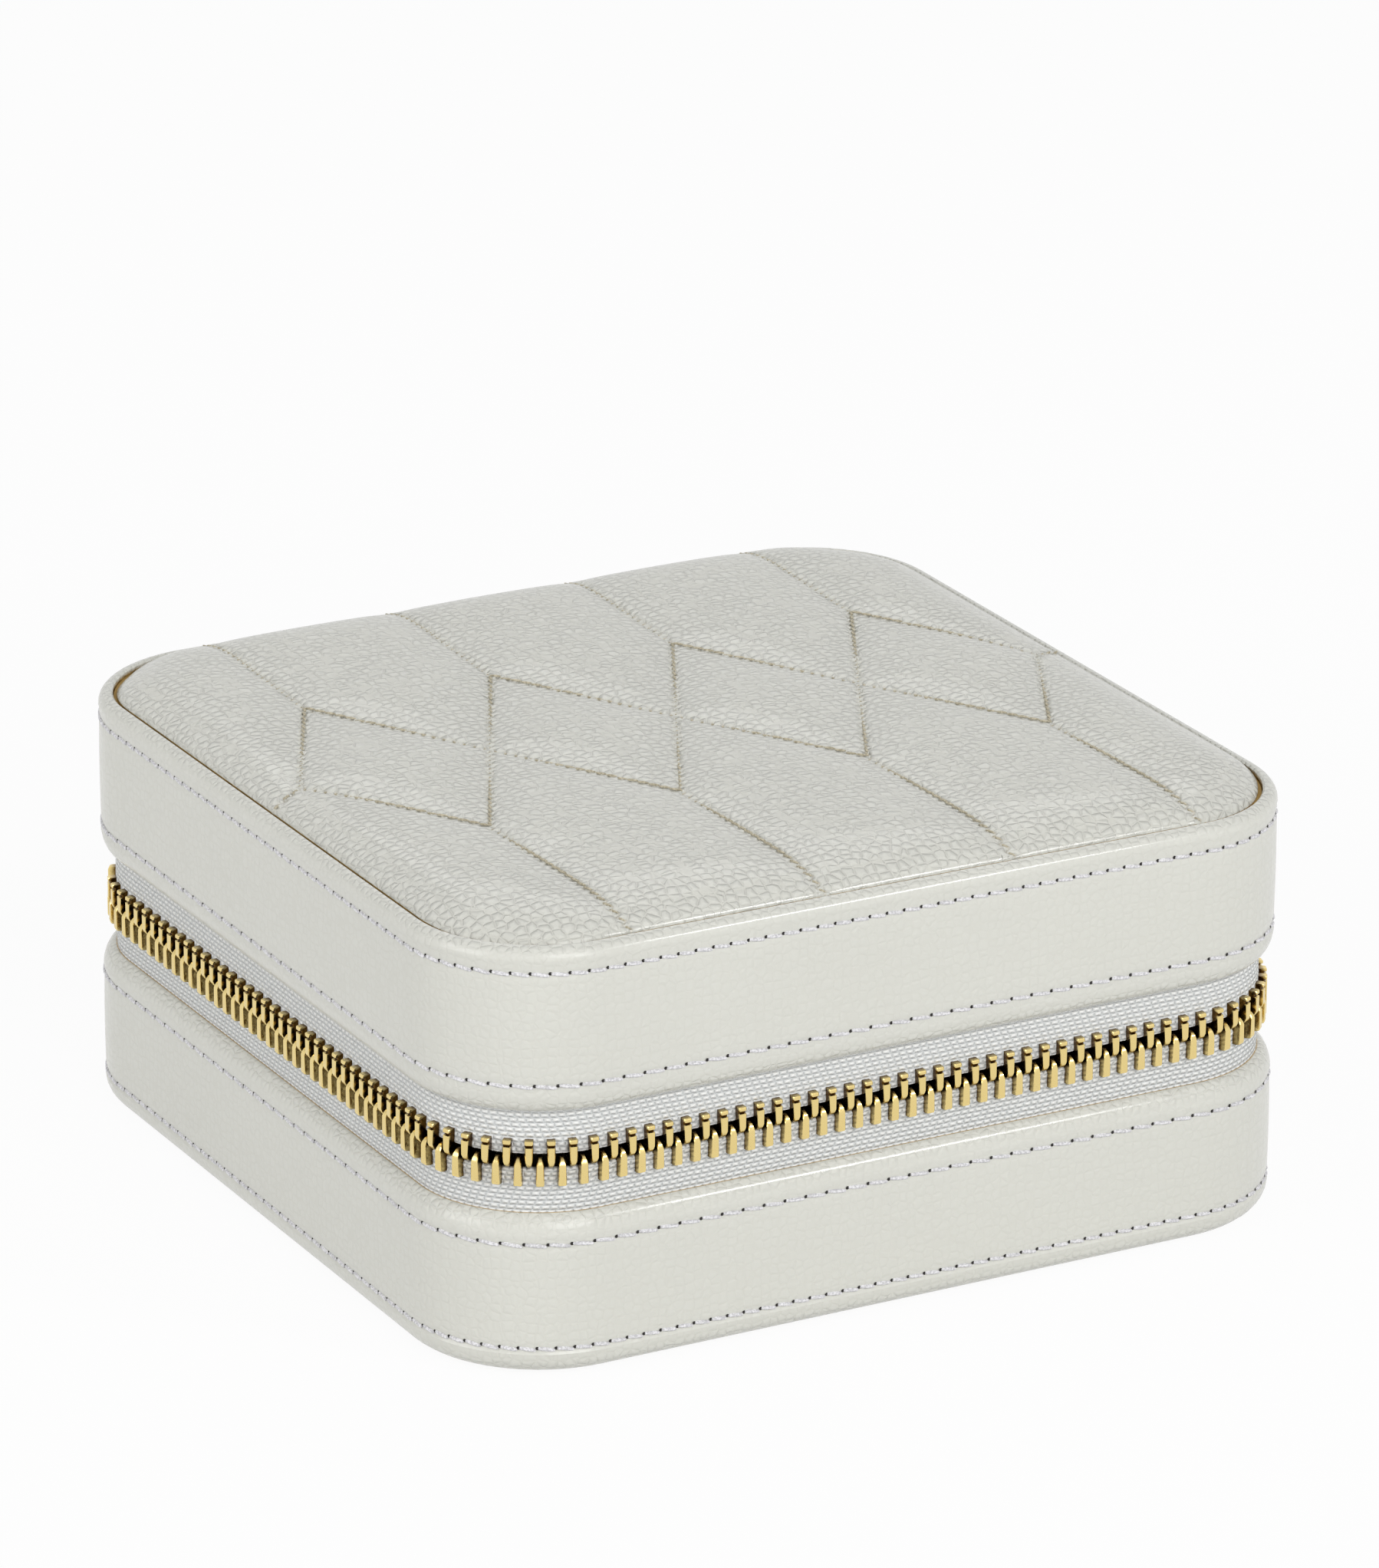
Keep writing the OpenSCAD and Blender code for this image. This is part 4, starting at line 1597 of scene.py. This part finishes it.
@dataclass
class SliderAndPull:
    """The zip's slider with its bail, and the pull that swings on it."""

    edge: float = 0.25 * MM
    sharp: float = math.radians(40)
    tarnish: float = 0.15

    def carry(self, node: str, name: str, body: Body) -> None:
        """Copies a node's shape, merges it and rounds its sharp edges.

        Args:
            node: The frame's node.
            name: Name of the piece.
            body: Body that it rides on.
        """
        bm = bmesh.new()
        bm.from_mesh(bpy.data.objects[node].data)
        bmesh.ops.remove_doubles(bm, verts=bm.verts, dist=TINY)
        bmesh.ops.dissolve_limit(bm, angle_limit=math.radians(1), verts=bm.verts, edges=bm.edges)
        round_edges(bm, [e for e in bm.edges if e.calc_face_angle(0) > self.sharp], self.edge, 2)
        shade(bm, "patina", lambda at: np.full(len(at), self.tarnish))
        stand_in(hand_over(bm, name, BRASS, smooth=30), body, node)

    def build(self) -> None:
        """Makes the three metal pieces."""
        self.carry("zip_slider", "slider_body", Body.SLIDER)
        self.carry("slider_bail", "slider_bail_lug", Body.SLIDER)
        self.carry("pull_tab", "pull_tag", Body.PULL)


# ---- spine -----------------------------------------------------------------------------------


@dataclass
class Spine:
    """The leather back and its lining."""

    sizes: CaseSizes
    thick: float = 0.6 * MM
    crease_lift: float = 0.9 * MM
    hidden: float = 6 * MM
    bend: float = 1.6 * MM
    half_width: float = 48.6 * MM
    rows: int = 36
    cuts: int = 19

    def strip(self, inset: float, low: float, high: float) -> BMesh:
        """Makes an upright strip across the back, with rows of faces.

        Args:
            inset: How far its back lies inside the case's back.
            low: Height of its lower edge.
            high: Height of its upper edge.

        Returns:
            The strip.
        """
        back = self.sizes.half - inset
        bm = bmesh.new()
        verts = [bm.verts.new((side * self.half_width, back, low)) for side in (-1, 1)]
        edges = [bm.edges.new(verts)]
        for _ in range(self.rows):
            edges = push(bm, edges, (0, 0, (high - low) / self.rows))
        level = [e for e in bm.edges if abs(e.verts[0].co.z - e.verts[1].co.z) < TINY]
        bmesh.ops.subdivide_edges(bm, edges=level, cuts=self.cuts, use_grid_fill=True)
        made = bmesh.ops.extrude_face_region(bm, geom=list(bm.faces))["geom"]
        bmesh.ops.translate(bm, verts=verts_of(made), vec=(0, -self.thick, 0))
        bmesh.ops.recalc_face_normals(bm, faces=bm.faces)
        return bm

    def half(self, name: str, finish: Finish, inset: float, lower: bool, *nodes: str) -> None:
        """Makes the half of a layer, from the zip's middle into the base or the lid.

        Args:
            name: Name of the piece.
            finish: Its finish.
            inset: How far its back lies inside the case's back.
            lower: Whether it is the half at the base.
            nodes: The frame's nodes that it stands for, if any.
        """
        s = self.sizes
        if lower:
            edge, inwards, pair = s.base_top, 1, (Body.BASE, Body.SPINE)
        else:
            edge, inwards, pair = s.lid_low, -1, (Body.SPINE, Body.LID)
        low, high = sorted((edge - inwards * self.hidden, s.zip_mid))
        piece = hand_over(self.strip(inset, low, high), name, finish)
        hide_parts(*nodes)
        y, crease = s.half - s.lining_in, edge + inwards * self.crease_lift
        crease - self.bend / 2
        crease + self.bend / 2
        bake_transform(piece)

    def build(self) -> None:
        """Makes both layers, each in two halves."""
        outer, inner = self.sizes.tape_in, self.sizes.lining_in
        self.half("spine_leather_lower", SPINE_LEATHER, outer, True,
                  "base_hinge_tab", "spine_leather")
        self.half("spine_leather_upper", SPINE_LEATHER, outer, False, "lid_hinge_tab")
        self.half("spine_lining_lower", VELVET, inner, True, "spine_lining")
        self.half("spine_lining_upper", VELVET, inner, False)


# ---- inside ----------------------------------------------------------------------------------


@dataclass
class Inside:
    """Linings, dividers, ring rolls and the mirror."""

    sizes: CaseSizes
    rolls: int = 5
    cove: float = 1.2 * MM
    roll_squareness: float = 0.35
    roll_rings: int = 60
    roll_end: float = 5 * MM
    roll_pinch: float = 0.28
    roll_droop: float = 0.2
    mirror_r: float = 8 * MM

    def lining(self, node: str, name: str, body: Body, up: int) -> None:
        """Makes a lined tray that is open upwards, or downwards in the lid.

        Args:
            node: The frame's lining.
            name: Name of the piece.
            body: Body that it rides on.
            up: 1 where the tray opens upwards and -1 where it opens downwards.
        """
        s = self.sizes
        low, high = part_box(node)
        floor, lip = (low[2], high[2]) if up > 0 else (high[2], low[2])
        thick = s.room_in - s.lining_in
        inside = floor + up * thick
        edge = thick / 2
        top = ellipse((s.lining_in + edge, lip - up * edge), (edge, up * edge), 180, 0, 8)
        cove = ellipse((s.room_in + self.cove, inside + up * self.cove),
                       (self.cove, up * self.cove), 180, 270)
        profile = [(s.lining_in, floor)] + top + cove
        bm = sweep_round(profile, s.outline, False)
        stand_in(hand_over(bm, name, VELVET), body, node)

    def divider(self, node: str) -> None:
        """Makes a divider of lined board with a round top.

        Args:
            node: The frame's divider.
        """
        low, high = (Vector(corner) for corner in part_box(node))
        bm = bmesh.new()
        place = Matrix.Translation((low + high) / 2) @ Matrix.Diagonal((*(high - low), 1))
        bmesh.ops.create_cube(bm, size=1, matrix=place)
        thin = min(high.x - low.x, high.y - low.y)
        top = [e for e in bm.edges if all(v.co.z > high.z - TINY for v in e.verts)]
        round_edges(bm, top, thin * 0.45, 5, clamp=False)
        stand_in(hand_over(bm, node + "_velvet", VELVET), Body.BASE, node)

    def roll(self, node: str) -> None:
        """Makes a ring roll: a soft bar with drawn-in ends.

        Args:
            node: The frame's ring roll.
        """
        low, high = (Vector(corner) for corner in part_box(node))
        middle, size = (low + high) / 2, high - low
        bm = bmesh.new()
        bmesh.ops.create_circle(bm, segments=36, radius=0.5,
                                matrix=Matrix.Translation((low.x, middle.y, middle.z))
                                @ Matrix.Rotation(math.pi / 2, 4, "Y"))
        for vert in bm.verts:
            y, z = (vert.co.y - middle.y) * 2, (vert.co.z - middle.z) * 2
            flat = max(abs(y), abs(z)) ** self.roll_squareness
            vert.co.y = middle.y + y * flat * size.y / 2
            vert.co.z = middle.z + (z * flat if z < 0 else z) * size.z / 2
        edges = list(bm.edges)
        bmesh.ops.contextual_create(bm, geom=edges)
        for _ in range(self.roll_rings):
            edges = push(bm, edges, (size.x / self.roll_rings, 0, 0))
        bmesh.ops.holes_fill(bm, edges=edges, sides=0)
        room = self.sizes.outline.inset(self.sizes.room_in + 0.5 * MM)
        for vert in bm.verts:
            near = max(0.0, 1 - (size.x / 2 - abs(vert.co.x - middle.x)) / self.roll_end)
            pinch = 1 - self.roll_pinch * near ** 2
            vert.co.y = middle.y + (vert.co.y - middle.y) * pinch
            vert.co.z = low.z + (vert.co.z - low.z) * (1 - self.roll_droop * near ** 2)
            a, b = abs(vert.co.x) - room.arc_c, vert.co.y - room.arc_c
            if a > 0 and b > 0 and math.hypot(a, b) > room.radius:
                reach = math.sqrt(max(room.radius ** 2 - b ** 2, 0))
                vert.co.x = math.copysign(room.arc_c + reach, vert.co.x)
        bmesh.ops.recalc_face_normals(bm, faces=bm.faces)
        piece = hand_over(bm, node + "_velvet", VELVET, smooth=50)
        stand_in(piece, Body.BASE, node)

    def mirror(self) -> None:
        """Makes the plump frame round the mirror."""
        low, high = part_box("mirror_frame")
        width = high[0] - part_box("mirror_glass")[1][0]
        pad = width / 2
        hump = ellipse((pad, high[2]), (pad, high[2] - low[2]), 180, 360, 14)
        bm = sweep_round(hump, Outline(high[0], self.mirror_r + width), True)
        stand_in(hand_over(bm, "mirror_frame_velvet", VELVET), Body.LID, "mirror_frame")

    def build(self) -> None:
        """Makes everything inside the case."""
        self.lining("base_lining", "base_velvet", Body.BASE, 1)
        self.lining("lid_lining", "lid_velvet", Body.LID, -1)
        for node in ("divider_long", "divider_left", "divider_right"):
            self.divider(node)
        for number in range(1, self.rolls + 1):
            self.roll(f"ring_roll_{number}")
        self.mirror()


# ---- studio ----------------------------------------------------------------------------------


@dataclass(frozen=True)
class Lamp:
    """One soft lamp, aimed at the case."""

    name: str
    place: tuple[float, float, float]
    size: float
    watts: float


@dataclass
class Studio:
    """Floor, lamps, world and camera."""

    focal_px: float = 11560.72
    image_h_px: float = 2044
    azimuth: float = -28.4
    elevation: float = 20.41
    roll: float = 0.21
    distance: float = 1306.08 * MM
    target: tuple[float, float, float] = (-3.18 * MM, -9.0 * MM, 60.68 * MM)
    lamps: tuple[Lamp, ...] = (
        Lamp("key", (-0.1, -1.38, 0.8), 0.85, 9.8),
        Lamp("spark", (0.6, -0.95, 0.85), 0.17, 2.8),
        Lamp("fill", (-1.35, -0.05, 0.58), 0.9, 6.7),
        Lamp("back", (0.6, 1.2, 1.3), 0.9, 2.4),
    )
    world_level: float = 0.4
    floor_half: float = 6
    floor_gap: float = 0.2 * MM
    floor_grey: float = 0.86
    floor_glow: float = 0.94

    def camera(self) -> None:
        """Sets the camera up at the viewing angle."""
        az, el, roll = (math.radians(a) for a in (self.azimuth, self.elevation, self.roll))
        back = Vector((math.sin(az) * math.cos(el), -math.cos(az) * math.cos(el), math.sin(el)))
        right = Vector((math.cos(az), math.sin(az), 0))
        up = back.cross(right)
        turned_right = right * math.cos(roll) + up * math.sin(roll)
        turned_up = up * math.cos(roll) - right * math.sin(roll)
        data = bpy.data.cameras.new("camera")
        data.sensor_fit = "VERTICAL"
        data.sensor_height = 36
        data.lens = self.focal_px / self.image_h_px * data.sensor_height
        data.clip_end = 20
        camera = put("camera", data)
        turn = Matrix((turned_right, turned_up, back)).transposed().to_4x4()
        camera.matrix_world = Matrix.Translation(Vector(self.target) + back * self.distance) @ turn
        bpy.context.scene.camera = camera

    @staticmethod
    def shown(paint: Paint) -> Wire:
        """Tells the rays that show the background: the camera's, and those off or through gloss.

        Args:
            paint: Adds nodes to the material or the world.

        Returns:
            1 for such a ray, 0 for others.
        """
        ray = paint.node("ShaderNodeLightPath", out="Is Camera Ray")
        mirrored = ray.through("MAXIMUM", ray.beside("Is Glossy Ray"))
        return mirrored.through("MAXIMUM", ray.beside("Is Transmission Ray"))

    def light(self) -> None:
        """Hangs the lamps and lights the world."""
        for lamp in self.lamps:
            data = bpy.data.lights.new(lamp.name, "AREA")
            data.size = lamp.size
            data.energy = lamp.watts
            item = put(lamp.name, data)
            item.location = lamp.place
            aim = Vector((0, 0, 30 * MM)) - Vector(lamp.place)
            item.rotation_euler = aim.to_track_quat("-Z", "Y").to_euler()
        world = bpy.data.worlds.new("studio")
        world.use_nodes = True
        bpy.context.scene.world = world
        paint = Paint(world.node_tree)
        ground = world.node_tree.nodes["Background"]
        level = paint.span(self.shown(paint), 0, 1, self.world_level, 1.0)
        world.node_tree.links.new(level.socket, ground.inputs["Strength"])
        ground.inputs["Color"].default_value = (1, 1, 1, 1)

    def floor(self) -> None:
        """Lays the pale floor."""
        bm = bmesh.new()
        bmesh.ops.create_grid(bm, x_segments=1, y_segments=1, size=self.floor_half)
        floor = put("floor", as_mesh(bm, "floor"))
        floor.location.z = -self.floor_gap
        material = bpy.data.materials.new("studio_floor")
        material.use_nodes = True
        tree = material.node_tree
        paint = Paint(tree)
        shader = tree.nodes["Principled BSDF"]
        grey = self.floor_grey
        shader.inputs["Base Color"].default_value = (grey, grey, grey, 1)
        shader.inputs["Roughness"].default_value = 0.9
        shader.inputs["Specular IOR Level"].default_value = 0.0
        glow = paint.node("ShaderNodeEmission", None, {"Color": (1, 1, 1, 1), "Strength": 1.0})
        matt = Wire(paint, shader.outputs[0])
        mixed = paint.node("ShaderNodeMixShader", None,
                           {0: self.shown(paint) * self.floor_glow, 1: matt, 2: glow})
        tree.links.new(mixed.socket, tree.nodes["Material Output"].inputs["Surface"])
        floor.data.materials.append(material)

    def build(self) -> None:
        """Builds the studio."""
        bpy.context.scene.view_settings.view_transform = "Standard"
        self.camera()
        self.light()
        self.floor()


def dress_frame(nodes: dict[str, bpy.types.Object]) -> None:
    """Gives each solid of the frame that stays the finish of what it is.

    Args:
        nodes: The frame's solids by name.
    """
    finishes = {
        "base_bottom_leather": SIDE_LEATHER,
        "base_floor_board": BOARD,
        "base_wall_board": BOARD,
        "lid_wall_board": BOARD,
        "lid_top_board": BOARD,
        "lid_foam": FOAM,
        "mirror_glass": GLASS,
    }
    for name, finish in finishes.items():
        mesh = nodes[name].data
        mesh.materials.clear()
        mesh.materials.append(finish.material())


def main() -> None:
    """Builds the case round its frame."""
    logging.basicConfig(level=logging.INFO, format="%(message)s")
    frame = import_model()
    sizes = CaseSizes.from_frame()
    Studio().build()
    dress_frame(frame["nodes"])
    leather = SideLeather(sizes)
    leather.base()
    leather.lid()
    QuiltedPanel(sizes).build()
    ZipFastener(sizes).build()
    SliderAndPull().build()
    Spine(sizes).build()
    Inside(sizes).build()


if __name__ == "__main__":
    main()
